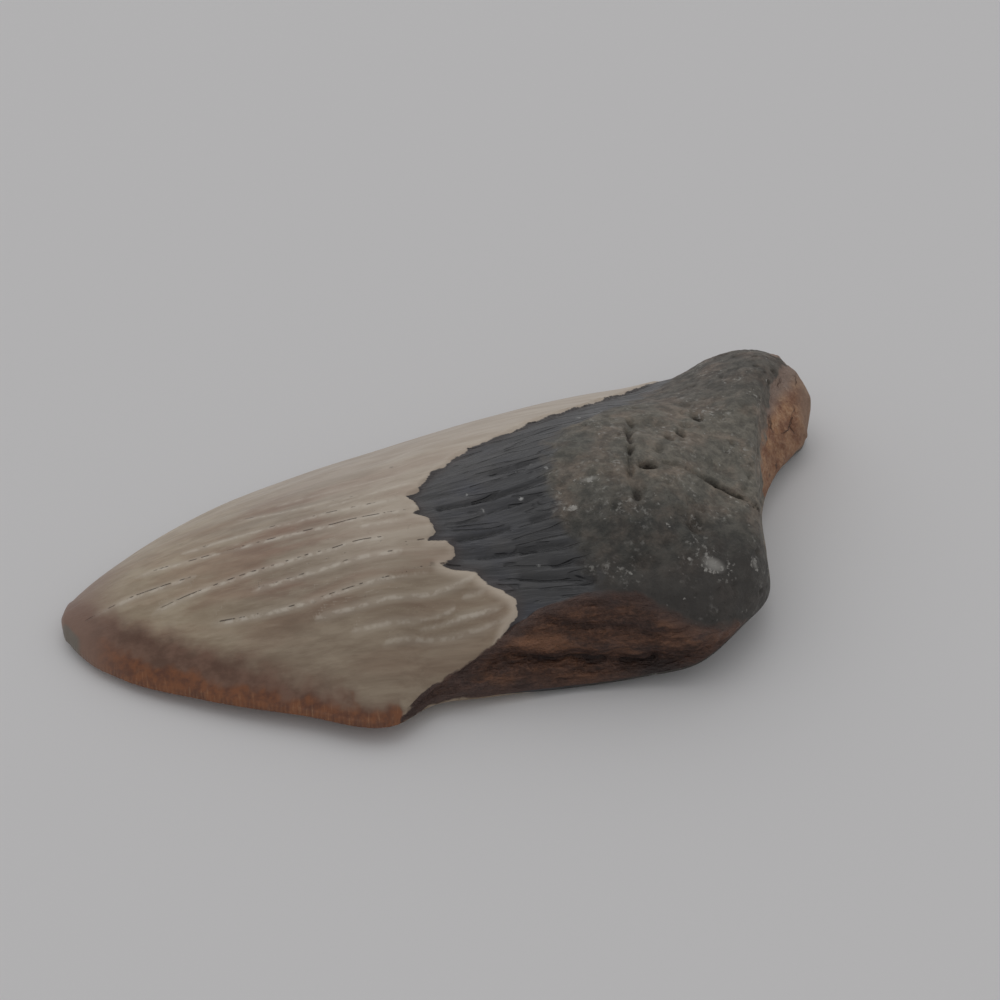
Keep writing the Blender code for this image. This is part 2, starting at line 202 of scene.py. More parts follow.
# %% Join the strips
strips = {"dome": dome_strip(), "wall": wall_strip(), "rest": rest_strip(), "edge": edge_strip()}
strips = {name: np.stack(np.broadcast_arrays(*strip), -1) for name, strip in strips.items()}
form = np.concatenate(list(strips.values()), axis=1)
around = form.shape[1]
strip_of = np.repeat(list(strips), [strip.shape[1] for strip in strips.values()])
on_dome, on_wall, on_rest, on_edge = ((strip_of == name)[None, :] for name in strips)
print("grid:", form.shape[:2], "triangles:", 2 * form.shape[0] * around)

# %% [markdown]
# ## Where each tissue begins
#
# Enamel, bourlette, root and break meet along lines that a collector knows well: the enamel ends
# in a scalloped V, the bourlette in a wider one, and the break follows the snapped rim. A painted
# mask could hold these lines. Here every point of the grid gets its signed distance to each line
# in millimetres, positive on the side of the tissue, so that shape and colour share one border.

# %% The lines of the borders
ENAMEL_LOBES = (               # the scalloped lower border on the lingual face, near side first
    ((62.0, -19), (63.2, -17), (64.5, -15.9), (65.1, -14.8), (64.7, -13.5), (62.4, -11.4),
     (60.6, -10.0), (59.4, -8.9), (57.2, -8.4), (55.2, -7.7)),
    ((55.2, -7.7), (56.7, -7.2), (57.4, -6.2), (56.9, -5.0), (55.7, -4.3), (53.8, -4.1)),
    ((53.8, -4.1), (54.8, -3.1), (54.6, -1.5), (53.8, -0.3), (52.2, 0.4)),
    ((52.2, 0.4), (52.9, 1.0), (52.6, 2.2), (51.3, 4.2)),
    ((51.3, 4.2), (52.7, 4.6), (53.5, 5.3)),
    ((53.5, 5.3), (53.6, 6.2), (54.6, 7.2), (55.3, 8.3), (57.0, 9.8)),
    ((57.0, 9.8), (58.2, 11.1), (59.5, 13.0), (61.0, 14.4), (63.4, 16.3), (66.7, 17.8),
     (70.3, 21.0), (75.7, 25.4), (81, 29.6), (87.3, 36.3), (93.7, 43.6), (99, 50), (103, 55)),
)
ROOT_V = (                     # the border of bourlette and root
    (78.5, -22), (76.8, -16), (75.2, -12), (73.4, -8), (72.2, -3), (71.8, 3), (72.6, 8), (74, 13.5),
    (77, 18.2), (81, 21.6), (85.5, 25), (89.8, 31), (93.2, 36), (97, 42), (102, 50),
)
LABIAL_V = ((66, -24), (67, -18), (73, -6), (76, 8), (79, 22), (86, 38), (94, 54))
BREAK_TOP = ((47, 20), (80, 16), (83, 13.8), (88, 10.9), (92, 9.2), (96, 8), (100, 5), (104, 1))
BREAK_START, BREAK_END = 47.8, 100
FOOT_LINE = 0.10               # the labial enamel shows as a line this wide along the break's foot
FOOT_LINE_END = 60, 70         # and it fades out over this stretch of x


def rounded(points, pieces=7):
    """The points with a smooth curve of x over y run through them, read at more places."""
    x, y = np.transpose(points)
    at = [np.linspace(a, b, pieces, endpoint=False) for a, b in zip(y[:-1], y[1:])]
    at = np.concatenate(at + [y[-1:]])
    return np.stack([smooth_curve(at, y, x), at], -1)


enamel_v = np.concatenate([rounded(lobe)[:-1] for lobe in ENAMEL_LOBES] + [ENAMEL_LOBES[-1][-1:]])
print("the enamel's border:", len(ENAMEL_LOBES), "lobes,", len(enamel_v), "points")


# %% Signed distances to the borders
def line_distance(x, y, points):
    """Distance from each place to a line of straight pieces: on each piece the nearest point is
    found by projection, held between the ends, and the smallest distance of all pieces is kept."""
    nearest = np.full(np.shape(x), np.inf)
    for (ax, ay), (bx, by) in zip(points[:-1], points[1:]):
        dx, dy = bx - ax, by - ay
        along = np.clip(((x - ax) * dx + (y - ay) * dy) / (dx**2 + dy**2), 0, 1)
        nearest = np.minimum(nearest, np.hypot(x - ax - along * dx, y - ay - along * dy))
    return nearest


def smooth_step(value, low, high):
    """0 below low, 1 above high, and 3t^2 - 2t^3 between them."""
    t = np.clip((value - low) / (high - low), 0, 1)
    return t * t * (3 - 2 * t)


def tipward(x, y, points):
    """Signed distance to a border that crosses the tooth, positive on the side of the tip."""
    border_x, border_y = np.transpose(points)
    return np.sign(np.interp(y, border_y, border_x) - x) * line_distance(x, y, points)


def arc_from(column):
    """Distance along each section from one column of the grid, which goes both ways round."""
    steps = np.linalg.norm(np.roll(form, -1, axis=1) - form, axis=2)
    length = np.cumsum(steps, axis=1) - steps
    whole = steps.sum(axis=1, keepdims=True)
    away = np.abs(length - length[:, column:column + 1])
    return np.minimum(away, whole - away)


x, y, z = np.moveaxis(form, 2, 0)
wall_top, wall_foot = DOME_POINTS - 1, DOME_POINTS + WALL_POINTS
rim_arc, foot_arc, far_arc = arc_from(wall_top), arc_from(wall_foot), arc_from(0)
below_rim = np.where(on_wall, rim_arc, -rim_arc)
on_foot = on_rest | (on_wall & (foot_arc < FOOT_LINE))
enamel_in = np.where(on_foot, tipward(x, y, LABIAL_V), tipward(x, y, enamel_v))
root_in = -np.where(on_rest, tipward(x, y, LABIAL_V), tipward(x, y, ROOT_V))
break_z = np.interp(x, *np.transpose(BREAK_TOP))
foot_line = FOOT_LINE - 1.2 * smooth_step(x, *FOOT_LINE_END)
limits = below_rim, break_z - z, x - BREAK_START, BREAK_END - x, foot_arc - foot_line
broken_in = np.minimum.reduce(limits)
shares = [round(float((inside > 0).mean()), 2) for inside in (enamel_in, root_in, broken_in)]
print("enamel, root and break, share of the grid:", shares)

# %% [markdown]
# ## Stone is rough at every size
#
# Sculpting by hand would give stone its lumps, and a displacement texture would too. Here the
# lumps come from lattice noise: random numbers sit at the corners of a cubic lattice, and each
# point takes the smooth blend of the eight corners round it. Stretching the lattice along one
# direction turns lumps into fibres.

# %% Lattice noise
LATTICE = 48
CORNERS = tuple(itertools.product((0, 1), repeat=3))


def lattice_noise(points, size, seed):
    """Random heights from -1 to 1 that change smoothly over about one size: corner values blended
    along each axis by the step 3t^2 - 2t^3."""
    corner_values = np.random.default_rng(seed).uniform(-1, 1, (LATTICE,) * 3)
    place = points / size
    cell = np.floor(place).astype(int)
    t = place - cell
    t = t * t * (3 - 2 * t)
    height = np.zeros(points.shape[:-1])
    for corner in CORNERS:
        weight = np.prod(np.where(corner, t, 1 - t), axis=-1)
        i, j, k = np.moveaxis((cell + corner) % LATTICE, -1, 0)
        height += weight * corner_values[i, j, k]
    return height


def rough(points, size, seed, octaves=3, gain=0.55):
    """Lattice noise at one size plus itself at half the size and gain times the height, again and
    again."""
    return sum(gain**i * lattice_noise(points, np.asarray(size) / 2**i, seed + i) for i in range(octaves))


def bell(distance):
    """1 at no distance, falling as exp(-1.2 d^2) to almost nothing at 2."""
    return np.exp(-1.2 * distance**2)


stone_noise = rough(form, 5.0, seed=11, octaves=5)
print("stone noise from", stone_noise.min().round(2), "to", stone_noise.max().round(2))

# %% [markdown]
# ## Relief of the enamel
#
# The enamel stands a little above the band behind it, like a thick coat of glaze with rolled
# edges. Long pale ribs run down it where the glaze healed over fine growth cracks. Each rib is a
# gentle curve given by its two ends and how far it bows. The distance from the nearest rib goes
# with the mesh later on, so that the material can draw what the relief raises.

# %% The nearest rib
RIBS = (                       # start x and y, end x and y, bow, strength, share of it that has cracked
    (3.4, -2.1, 20, -1.1, -0.001, 0.9, 1.0),
    (11, 2.2, 50.3, 1.2, -0.0006, 1.0, 0.8),
    (21.4, 2.6, 28, 2.9, 0.007, 0.6, 0.2),
    (42.7, 0.1, 50.2, -0.3, 0.02, 0.9, 0.0),
    (13.6, -4.9, 47.2, -3.0, -0.0031, 1.0, 0.9),
    (27.6, -5.9, 49.6, -5.5, -0.0017, 1.0, 0.3),
    (22.5, -9.0, 54.1, -8.3, 0.0042, 1.0, 0.7),
    (50.2, -4.5, 54.2, -4.2, -0.008, 0.2, 1.3),
    (46, -8.8, 56, -7.7, -0.005, 0.2, 1.3),
    (36, -12.0, 59.7, -9.6, 0.009, 0.85, 0.0),
    (56, -12.1, 60.8, -11.6, -0.015, 0.5, 0.0),
    (41, -14.9, 57, -13.0, 0.017, 0.65, 0.0),
    (49, -16.3, 62.9, -14.0, -0.015, 0.9, 0.0),
    (45, -17.7, 63.4, -15.5, -0.0035, 0.55, 0.0),
    (17, 4.5, 50.4, 3.7, -0.0008, 0.8, 0.3),
    (36, 5.3, 51.5, 6.8, -0.002, 0.8, 0.1),
    (26, 10.2, 45.2, 6.9, 0.008, 0.7, 0.3),
    (31, 11.2, 50, 10.9, -0.0027, 0.6, 0.1),
    (34, 17.5, 56, 17.0, -0.001, 0.3, 0.0),
)
FADED_AWAY = 4                 # a rib that has faded out counts as this much farther off


def rib_across(x, y, start_x, start_y, end_x, end_y, bow):
    """Distance across from a rib: y less the straight line between its ends, less bow times the
    product of the distances along x from both ends."""
    slope = (end_y - start_y) / (end_x - start_x)
    return y - start_y - slope * (x - start_x) - bow * (x - start_x) * (x - end_x)


def nearest_rib(x, y):
    """Distance across from the nearest rib, the rib's strength and how far it has cracked. A rib
    fades out past its ends, and counts as farther off the more it has faded. Where two ribs are
    about as near, both have no strength."""
    found = np.stack([np.full(x.shape, 9.0), np.zeros(x.shape), np.zeros(x.shape)])
    nearest, second = np.full(x.shape, 99.0), np.full(x.shape, 99.0)
    for *line, strength, cracked in RIBS:
        here = rib_across(x, y, *line)
        fade = smooth_step(x, line[0] - 1, line[0] + 3) * smooth_step(line[2] - x, -2, 1)
        reach = np.abs(here) + FADED_AWAY * (1 - fade)
        nearer = reach < nearest
        second = np.where(nearer, nearest, np.minimum(second, reach))
        nearest = np.where(nearer, reach, nearest)
        found = np.where(nearer, (here, strength * fade, cracked * fade), found)
    alone = smooth_step(second - nearest, 0.35, 0.9)
    return found[0], found[1] * alone, found[2] * alone


rib_waver = 0.16 * lattice_noise(form, 4.0, seed=7)
rib_distance, rib_strength, rib_cracked = nearest_rib(x, y + rib_waver)
print("ribs:", len(RIBS), "- share of the grid near one:", float((rib_strength > 0.1).mean().round(2)))

# %% Enamel relief
ENAMEL_STEP = 0.55             # how far the enamel stands above the bourlette
RIB_WIDTH, RIB_HEIGHT = 0.6, 0.06
FLUTE_HEIGHT, ROLL_HEIGHT, GRIT_HEIGHT = 0.09, 0.10, 0.03


def enamel_relief(x, y):
    """Low flutes that spread from the tip, the ribs as bells across their lines, and a swelling
    along the lower border."""
    height = FLUTE_HEIGHT * np.sin(0.62 * (y - 4) * 60 / np.maximum(x + 12, 20)) * smooth_step(x, 10, 30)
    height += RIB_HEIGHT * rib_strength * bell(rib_distance / RIB_WIDTH)
    return height + ROLL_HEIGHT * bell((enamel_in - 0.8) / 0.7) * near_lobe


near_lobe = smooth_step(-y, 5, 9)    # the broad lobe of enamel beside the break has a rolled border
wander = rough(form, 3.0, seed=3, octaves=3)
border = enamel_in + 0.2 * wander
enamel_height = ENAMEL_STEP * (smooth_step(border, -0.25, 0.35) - 1)
fine_height = enamel_relief(x, y) * on_dome + GRIT_HEIGHT * stone_noise
enamel_height = enamel_height + smooth_step(border, 0, 1.5) * fine_height
print("enamel relief, mm:", enamel_height.min().round(2), enamel_height.max().round(2))

# %% [markdown]
# ## Relief of the bourlette and the root
#
# The bourlette is scored with long grooves that spread like the hairs of a brush from the middle of
# the blade. Noise on stretched polar coordinates gives that grain. The root is porous bone turned
# to stone: lumps of every size, a nutrient hole, a crevice, a crack between its lobes, and pits.

# %% Root relief
LUMPS = (                      # swellings and pits: x, y, half-length along x and along y, height
    (96, -9, 8, 7, 1.3),
    (112, 30, 9, 12, 0.9),
    (88, 22, 9, 8, 0.7),
    (103, 6, 6, 6, -0.4),
    (79, -4, 6, 9, 0.5),
    (106, 22, 3.0, 2.4, 0.5),
    (83.2, -12.8, 3.2, 1.0, -0.8),
    (92.0, -6.8, 1.5, 1.5, -1.7),
    (86.9, 3.8, 1.15, 0.6, -4.2),
    (89.5, 7.7, 0.9, 0.9, -0.8),
    (91.9, 11.9, 0.75, 0.9, -1.8),
    (94.2, 14.0, 0.7, 1.2, -2.0),
    (95.6, 17.0, 1.2, 0.8, -0.9),
    (98.2, 20.4, 0.9, 1.5, -1.8),
    (97.6, 24.6, 1.6, 1.2, -0.7),
    (89.2, 16.2, 3.0, 1.4, -0.5),
    (98.4, 6.4, 4.5, 1.6, -0.5),
    (110.6, 30.5, 1.2, 2.6, -0.45),
)
CLEFTS = (                     # crevice behind the bourlette, then the crack between the lobes in two
    # parts: points, half-width, depth, and the share of the depth that comes and goes
    (((86.8, 17.6), (85.4, 11.4), (85.2, 8.6), (84.2, 5.0), (83.7, 1), (84.1, -2.5), (83.3, -4.4)),
     0.5, 1.4, 0.85),
    (((89.6, 4.6), (93.0, 4.0), (97.4, 2.9)), 0.35, 0.8, 0.6),
    (((96.6, 3.0), (101.6, 0.9), (107, -1.9)), 0.34, 1.4, 0.2),
)
STONE_HEIGHT, PORE_DEPTH = 0.26, 0.3


def hump(x, y, centre_x, centre_y, half_x, half_y):
    """A bell over an oval."""
    return bell(np.hypot((x - centre_x) / half_x, (y - centre_y) / half_y))


def root_relief(x, y):
    """Lumps and pits as bells, clefts as bells across their lines that come and go with a noise, and
    stone noise."""
    height = STONE_HEIGHT * stone_noise
    open_share = smooth_step(gap_noise, -0.35, 0.3)
    for *place, lift in LUMPS:
        height += lift * hump(x, y, *place)
    for points, half_width, depth, gaps in CLEFTS:
        depth = depth * (1 - gaps + gaps * open_share)
        height -= depth * bell((line_distance(x, y, points) + 0.4 * wander) / half_width)
    return height


gap_noise = lattice_noise(form, 2.3, seed=61)
pores = -PORE_DEPTH * smooth_step(rough(form, 1.5, seed=31, octaves=2), 0.6, 1.0)
root_height = root_relief(x, y) + pores
print("root relief, mm:", root_height.min().round(2), root_height.max().round(2))

# %% Bourlette relief
GRAIN_APEX = (20, -3)
GRAIN_STRETCH = 0.11           # one millimetre along the grain counts as this much across it
SCORES = (                     # the deepest grooves of the bourlette: their ends, half-width, depth
    (((55.8, 1.0), (61, 1.5), (66, 2.3), (71.5, 3.4)), 0.42, 0.55),
    (((57.2, -4.4), (61, -4.0), (65.2, -3.8)), 0.38, 0.45),
    (((62.5, -0.6), (66, -0.2), (70.4, 0.6)), 0.34, 0.4),
    (((66.5, -7.6), (70, -7.9), (74.6, -8.6)), 0.55, 0.6),
    (((68.6, -3.4), (71, -3.4), (74, -3.2)), 0.5, 0.5),
    (((70.5, -10.6), (74, -11.2), (77.4, -12)), 0.6, 0.6),
    (((66, -11.2), (70.5, -12.6), (75.5, -14)), 0.7, 0.6),
    (((60.5, -7.2), (64, -7.4), (68.5, -8)), 0.32, 0.4),
    (((64, 6.4), (67.5, 7.2), (71, 8.2)), 0.4, 0.35),
)
FIBRE_HEIGHT, MIDDLE_DIP = 0.11, 0.35


def grain_coordinates(x, y):
    """Polar coordinates round the apex of the grain: distance from it, and the angle as a length at
    45 mm."""
    dx, dy = x - GRAIN_APEX[0], y - GRAIN_APEX[1]
    return np.hypot(dx, dy), 45 * np.arctan2(dy, np.maximum(dx, 1))


def bourlette_relief(x, y):
    """Fine and coarse fibre noise along the grain, less the deepest scores."""
    along, across = grain_coordinates(x, y)
    fibres = np.stack([along * GRAIN_STRETCH, across, 0 * across], -1)
    height = FIBRE_HEIGHT * rough(fibres, 1.5, seed=21, octaves=3, gain=0.6)
    return height - scored


def score_depths(x, y):
    """How deep the scores cut here, as bells across their lines."""
    cuts = [depth * bell((line_distance(x, y, points) + 0.12 * wander) / (0.8 * half_width))
            for points, half_width, depth in SCORES]
    return np.maximum.reduce(cuts)


scored = score_depths(x, y)
bourlette_height = bourlette_relief(x, y) - MIDDLE_DIP * bell((enamel_in + 8) / 8)
rootness = smooth_step(root_in + 1.6 * wander, -1.5, 1.5)
soft_height = (1 - rootness) * bourlette_height + rootness * root_height
print("bourlette relief, mm:", bourlette_height.min().round(2), bourlette_height.max().round(2))

# %% Pale minerals, and how deep the hollows are
MINERALS = (                   # crowds of pale grains: x, y, half-length along x and along y, strength
    (93.2, -12.0, 3.0, 1.8, 1.0),
    (99.5, -10.2, 1.0, 1.0, 0.9),
    (77.6, 1.3, 2.9, 1.1, 0.9),
    (74.2, -3.2, 1.5, 0.8, 0.9),
    (108.7, 25.7, 1.8, 1.8, 0.6),
    (99.5, 21.0, 4.0, 4.0, 0.5),
    (103, 12, 4.5, 5, 0.35),
    (66.6, -12.6, 1.0, 0.6, 1.0),
    (70.4, 17.6, 1.1, 0.8, 0.8),
    (95, 6, 4.5, 2.5, 0.35),
    (91, 15, 3.5, 3.0, 0.45),
)
mineral = np.maximum.reduce([strength * hump(x, y, *place) for *place, strength in MINERALS])
# How deep each point lies in a hollow, score or split; the finishes are darker by it.
deep_root = smooth_step(-root_height + STONE_HEIGHT * stone_noise, 0.45, 1.4)
mud = np.where(rootness > 0.5, deep_root, smooth_step(scored, 0.12, 0.42))
print("crowds of mineral:", len(MINERALS), "- mean of the mud:", mud.mean().round(3))

# %% [markdown]
# ## Relief of the break
#
# Dentine grows in sheets, so it snaps in long splinters, like slate. The break has one deep split
# along it, a ledge above, a bulge below, and fibre noise stretched along the tooth. The hollow at
# the foot of the whole lobe is a rounder, sandy scar.

# %% Break and base relief
BASE_SIDE, BASE_LOW, BASE_HIGH = 15.5, 3.2, 14.6    # the scar lies beyond this y, between these heights
SPLIT_Z = ((50, 2.6), (56, 5.0), (62, 6.5), (68, 5.8), (76, 4.7), (82, 3.9), (88, 4.7), (96, 5.4))


def break_relief(points):
    """A narrow split inside a wide hollow, a ledge above and a bulge below, each a bell of the
    height over the split, and splinters as noise that is six times longer along the tooth."""
    x, y, z = np.moveaxis(points, 2, 0)
    over_split = z - np.interp(x, *np.transpose(SPLIT_Z)) + 0.6 * wander
    gape = smooth_step(x, 58, 68) * (1 - 0.7 * smooth_step(x, 84, 92))
    gape = gape * (0.45 + 0.55 * smooth_step(gap_noise, -0.4, 0.2))
    height = -0.9 * bell(over_split / 1.6) * (0.5 + 0.5 * gape) - 1.0 * gape * bell(over_split / 0.4)
    height += 0.7 * bell((over_split - 2.6) / 1.1) + 0.6 * bell((over_split + 2.4) / 1.3)
    height -= 0.5 * bell((over_split - 5.0) / 0.5) * smooth_step(x, 64, 72)
    splinters = points * (1 / 6, 0.6, 1)
    return height + 0.5 * rough(splinters, 2.4, seed=41, octaves=4, gain=0.68)


def base_relief(points):
    """A sandy hollow: sunk above its lower rim, with a dish round its middle, plus stone noise."""
    _, y, z = np.moveaxis(points, 2, 0)
    height = -0.4 * smooth_step(z, 4, 6) - 0.5 * bell(np.hypot(y - 22, (z - 9) / 1.5) / 1.6)
    return height + 0.3 * stone_noise + 0.25 * rough(points, 1.6, seed=51, octaves=2)


past_crease = x - 0.31 * y - 103.1        # the crease between the root and the scar runs obliquely
limits = past_crease, y - BASE_SIDE + 1.8 * wander, 1.3 * (BASE_HIGH - z), 1.3 * (z - BASE_LOW)
base_in = np.minimum.reduce(limits) + 0.5 * wander
brokenness = smooth_step(broken_in + 0.25 * wander, -0.1, 0.9)
baseness = smooth_step(base_in, -0.2, 1.0)
below_step = -ENAMEL_STEP + soft_height * smooth_step(-border, 0.3, 1.5)
break_height, base_height = break_relief(form), base_relief(form)
height = np.where(border > -0.3, enamel_height, below_step)
height = height * (1 - brokenness) + break_height * brokenness
height = height * (1 - baseness) + base_height * baseness
mud = np.where(broken_in > 0, smooth_step(-break_height, 0.8, 2.0), mud)
mud = np.where(base_in > 0, smooth_step(-base_height, 1.3, 2.2), mud) * (enamel_in < 0)
print("whole relief, mm:", height.min().round(2), height.max().round(2))

# %% [markdown]
# ## Raise the relief and round the rims
#
# The relief is laid out along the outward direction of the smooth form. The labial face may only
# sink, so that the tooth still rests on it, and the ends fade to nothing where the sections close.
# Rims that were rolled in a river are softened a little; the break keeps its crisp one. The end
# of the whole lobe is rounded all over.

# %% Raise the relief
END_FADE = 10                  # sections over which the relief dies out at both ends
LABIAL_SINK, LABIAL_GRIT = 0.25, 0.12
WORN_PASSES, END_PASSES = 10, 60   # the end of the whole lobe is rounded far more than the rims


def outward(points):
    """The cross product of the steps round the section and along the tooth, at unit length."""
    along = np.gradient(points, axis=0)
    round_it = (np.roll(points, -1, axis=1) - np.roll(points, 1, axis=1)) / 2
    normal = np.cross(round_it, along)
    return normal / np.maximum(np.linalg.norm(normal, axis=2, keepdims=True), 1e-9)


def soften(points, weight, passes):
    """Moves each point of a section towards the middle of its neighbours, by its weight."""
    for _ in range(passes):
        middle = (np.roll(points, 1, axis=1) + np.roll(points, -1, axis=1)) / 2
        points = points + weight[..., None] * (middle - points)
    return points


along_break = smooth_step(x, 49, 56) * (1 - smooth_step(x, 88, 96))
worn = 0.5 * bell(rim_arc / 1.2) * (1 - 0.8 * along_break)
lobe_end = smooth_step(x, 112, 119)
round_end = 0.5 * lobe_end * np.maximum(bell(rim_arc / 3), bell(foot_arc / 2.5))
smooth_form = soften(soften(form, worn, WORN_PASSES), round_end, END_PASSES)
section_number = np.arange(SECTIONS)
from_end = np.minimum(section_number, section_number[::-1])[:, None]
inside_edge = smooth_step(far_arc, 0, 2) * np.where(on_rest | on_edge, 0.0, 1.0)
relief = height * smooth_step(from_end, 0, END_FADE) * inside_edge * smooth_step(foot_arc, 0, 1.2)
raised = smooth_form + relief[..., None] * outward(smooth_form)
sink = LABIAL_SINK * smooth_step(-enamel_in, 0, 1) + LABIAL_GRIT * np.abs(stone_noise)
sink = sink * smooth_step(-enamel_in, 0, 2)
raised[..., 2] += sink * on_rest * smooth_step(far_arc, 0, 6) * smooth_step(foot_arc, 0, 6)

low, high = raised.min(axis=(0, 1)), raised.max(axis=(0, 1))
tooth_points = (raised - low) / (high - low) * tooth_size + low_corner
print("fitted to the solid by", ((high - low) / tooth_size).round(4))

# %% [markdown]
# ## From the grid to a mesh
#
# Neighbouring points of the grid make quads, the last column joins the first, and a fan of
# triangles closes each end. The mesh also carries what the material needs: the distances to the
# borders, and how deep each point lies, as named attributes. A flat map lays the lingual face, the
# labial face and the wall side by side, so that the colours can be baked evenly.

# %% Build the mesh
def closed_faces(sections, around):
    """Quads between neighbouring sections and columns, and one fan of triangles at each end whose
    middle points are the last two vertices."""
    i, j = np.meshgrid(np.arange(sections - 1), np.arange(around), indexing="ij")
    k = (j + 1) % around
    quads = np.stack([i * around + j, i * around + k, (i + 1) * around + k, (i + 1) * around + j], -1)
    j = np.arange(around)
    k = (j + 1) % around
    first, last = sections * around, sections * around + 1
    base = (sections - 1) * around
    tip_fan = np.stack([np.full(around, first), k, j], -1)
    end_fan = np.stack([np.full(around, last), base + j, base + k], -1)
    return quads.reshape(-1, 4), np.concatenate([tip_fan, end_fan])


def mesh_of(name, points, quads, triangles):
    """Fills a mesh with whole arrays: corner indices, then where each face starts."""
    mesh = bpy.data.meshes.new(name)
    corners = np.concatenate([quads.ravel(), triangles.ravel()])
    sizes = np.concatenate([np.full(len(quads), 4), np.full(len(triangles), 3)])
    mesh.vertices.add(len(points))
    mesh.vertices.foreach_set("co", np.ascontiguousarray(points, np.float32).ravel())
    mesh.loops.add(len(corners))
    mesh.loops.foreach_set("vertex_index", corners.astype(np.int32))
    mesh.polygons.add(len(sizes))
    mesh.polygons.foreach_set("loop_start", (np.cumsum(sizes) - sizes).astype(np.int32))
    mesh.update(calc_edges=True)
    mesh.shade_smooth()
    return mesh, corners


def with_middles(values):
    """The grid's values as one list, with the mean of each end section added."""
    flat = values.reshape(-1, *values.shape[2:])
    return np.concatenate([flat, [values[0].mean(axis=0), values[-1].mean(axis=0)]])


quads, triangles = closed_faces(SECTIONS, around)
mesh, corners = mesh_of("tooth", with_middles(tooth_points) * MM, quads, triangles)
print("mesh:", len(mesh.vertices), "points,", 2 * len(quads) + len(triangles), "triangles")

# %% The attributes
along_grain, across_grain = grain_coordinates(x, y)
steps_along = np.linalg.norm(np.gradient(form, axis=0), axis=2)
run = np.cumsum(steps_along, axis=0)
edge_run = np.where(far_arc < foot_arc, run[:, :1], run[:, wall_foot:wall_foot + 1])
near_edge_in = np.where(x < BREAK_START, foot_arc, foot_arc + 3 * (x - BREAK_START))
edge_in = np.minimum(near_edge_in, far_arc)
attributes = dict(
    x=x, y=y, z=z, enamel_in=enamel_in, root_in=root_in, broken_in=broken_in, base_in=base_in,
    edge_in=edge_in, near_in=near_edge_in, edge_run=edge_run, along=along_grain, across=across_grain,
    rib_across=rib_distance, rib_strength=rib_strength * (1 - on_rest),
    rib_cracked=rib_cracked * (1 - on_rest), mud=mud, stand=height, mineral=mineral,
)
for name, values in attributes.items():
    layer = mesh.attributes.new(name, "FLOAT", "POINT")
    layer.data.foreach_set("value", with_middles(values).astype(np.float32))
print("attributes:", ", ".join(attributes))

# %% The flat map
SIDE = 174                     # millimetres that the map's whole square stands for
GAP = 2.5                      # millimetres between the charts of the map
RIBBON_ROOM = 12 * GAP         # room for the wall's ribbon


def chart_places():
    """Where each grid point lies on the map, in millimetres: the lingual face seen from above, the
    labial face under it, the wall and the edge as ribbons along the length. In the strips' order."""
    seen_from_above = tooth_points[..., :2] - low_corner[:2]
    dome = seen_from_above + (0, tooth_size[1] + GAP)
    wall = np.stack([tooth_size[0] + GAP + rim_arc, run[:, wall_top:wall_top + 1] + 0 * x], -1)
    side = np.stack([tooth_size[0] + RIBBON_ROOM + far_arc, run[:, :1] + 0 * x], -1)
    return np.stack([with_middles(chart) for chart in (dome, wall, seen_from_above, side)])


def corner_map():
    """Each quad takes its four places from its own strip's chart, so that no face spans two."""
    charts = chart_places()
    columns = np.arange(around)
    ends = wall_top, wall_foot, wall_foot + REST_POINTS - 1
    chart = np.select([columns < end for end in ends], [0, 1, 2], 3)
    quad_chart, fan_chart = np.tile(chart, SECTIONS - 1), np.tile(chart, 2)
    return np.concatenate([charts[np.repeat(quad_chart, 4), quads.ravel()],
                           charts[np.repeat(fan_chart, 3), triangles.ravel()]]) / SIDE


flat_map = mesh.uv_layers.new(name="OFBake")
on_map = corner_map()
flat_map.data.foreach_set("uv", on_map.astype(np.float32).ravel())
print("map reaches:", on_map.min(axis=0).round(3), on_map.max(axis=0).round(3))

# %% [markdown]
# ## Small tools for shader nodes
#
# A material in Blender is a graph. Placing nodes by hand is quick, but a long graph is easier to
# read as formulas. So each output of a node is kept as a wire that knows arithmetic: where two
# wires are multiplied, the node that does it is added to the graph.

# %% Wires
class Wire:
    """One output of a node, and the graph that it belongs to."""

    def __init__(self, socket):
        self.socket = socket
        self.tree = socket.id_data

    def __add__(self, other):
        return maths("ADD", self, other)

    def __sub__(self, other):
        return maths("SUBTRACT", self, other)

    def __rsub__(self, other):
        return maths("SUBTRACT", other, self)

    def __mul__(self, other):
        return maths("MULTIPLY", self, other)

    def __rmul__(self, other):
        return maths("MULTIPLY", other, self)

    def __truediv__(self, other):
        return maths("DIVIDE", self, other)

    def __rtruediv__(self, other):
        return maths("DIVIDE", other, self)

    def __pow__(self, other):
        return maths("POWER", self, other)

    def __abs__(self):
        return maths("ABSOLUTE", self)


# %% Helpers that add nodes
def feed(socket, value):
    """Links an input to a wire, or gives it a plain value."""
    if isinstance(value, Wire):
        socket.id_data.links.new(value.socket, socket)
    else:
        socket.default_value = value


def add_node(kind, settings, inputs, tree=None):
    """A node of this kind with its settings, and with inputs fed by name or number. It is added to
    the graph of the first wire among them, unless a tree is given."""
    wires = [value for value in inputs.values() if isinstance(value, Wire)]
    node = (tree or wires[0].tree).nodes.new("ShaderNode" + kind)
    for name, value in settings.items():
        setattr(node, name, value)
    for name, value in inputs.items():
        feed(node.inputs[name], value)
    return node


def maths(operation, *values):
    """One arithmetic node, with its inputs in order."""
    return Wire(add_node("Math", {"operation": operation}, dict(enumerate(values))).outputs[0])


def add_up(total, *parts):
    """The total, plus each wire times its weight."""
    for wire, weight in parts:
        total = maths("MULTIPLY_ADD", wire, weight, total)
    return total


def ramp(*numbers):
    """Of value, low, high, low_out and high_out: low_out below low, high_out above high, and a smooth
    step between them. The last two are 0 and 1 if left out."""
    node = add_node("MapRange", {"interpolation_type": "SMOOTHSTEP"}, dict(enumerate(numbers)))
    return Wire(node.outputs["Result"])


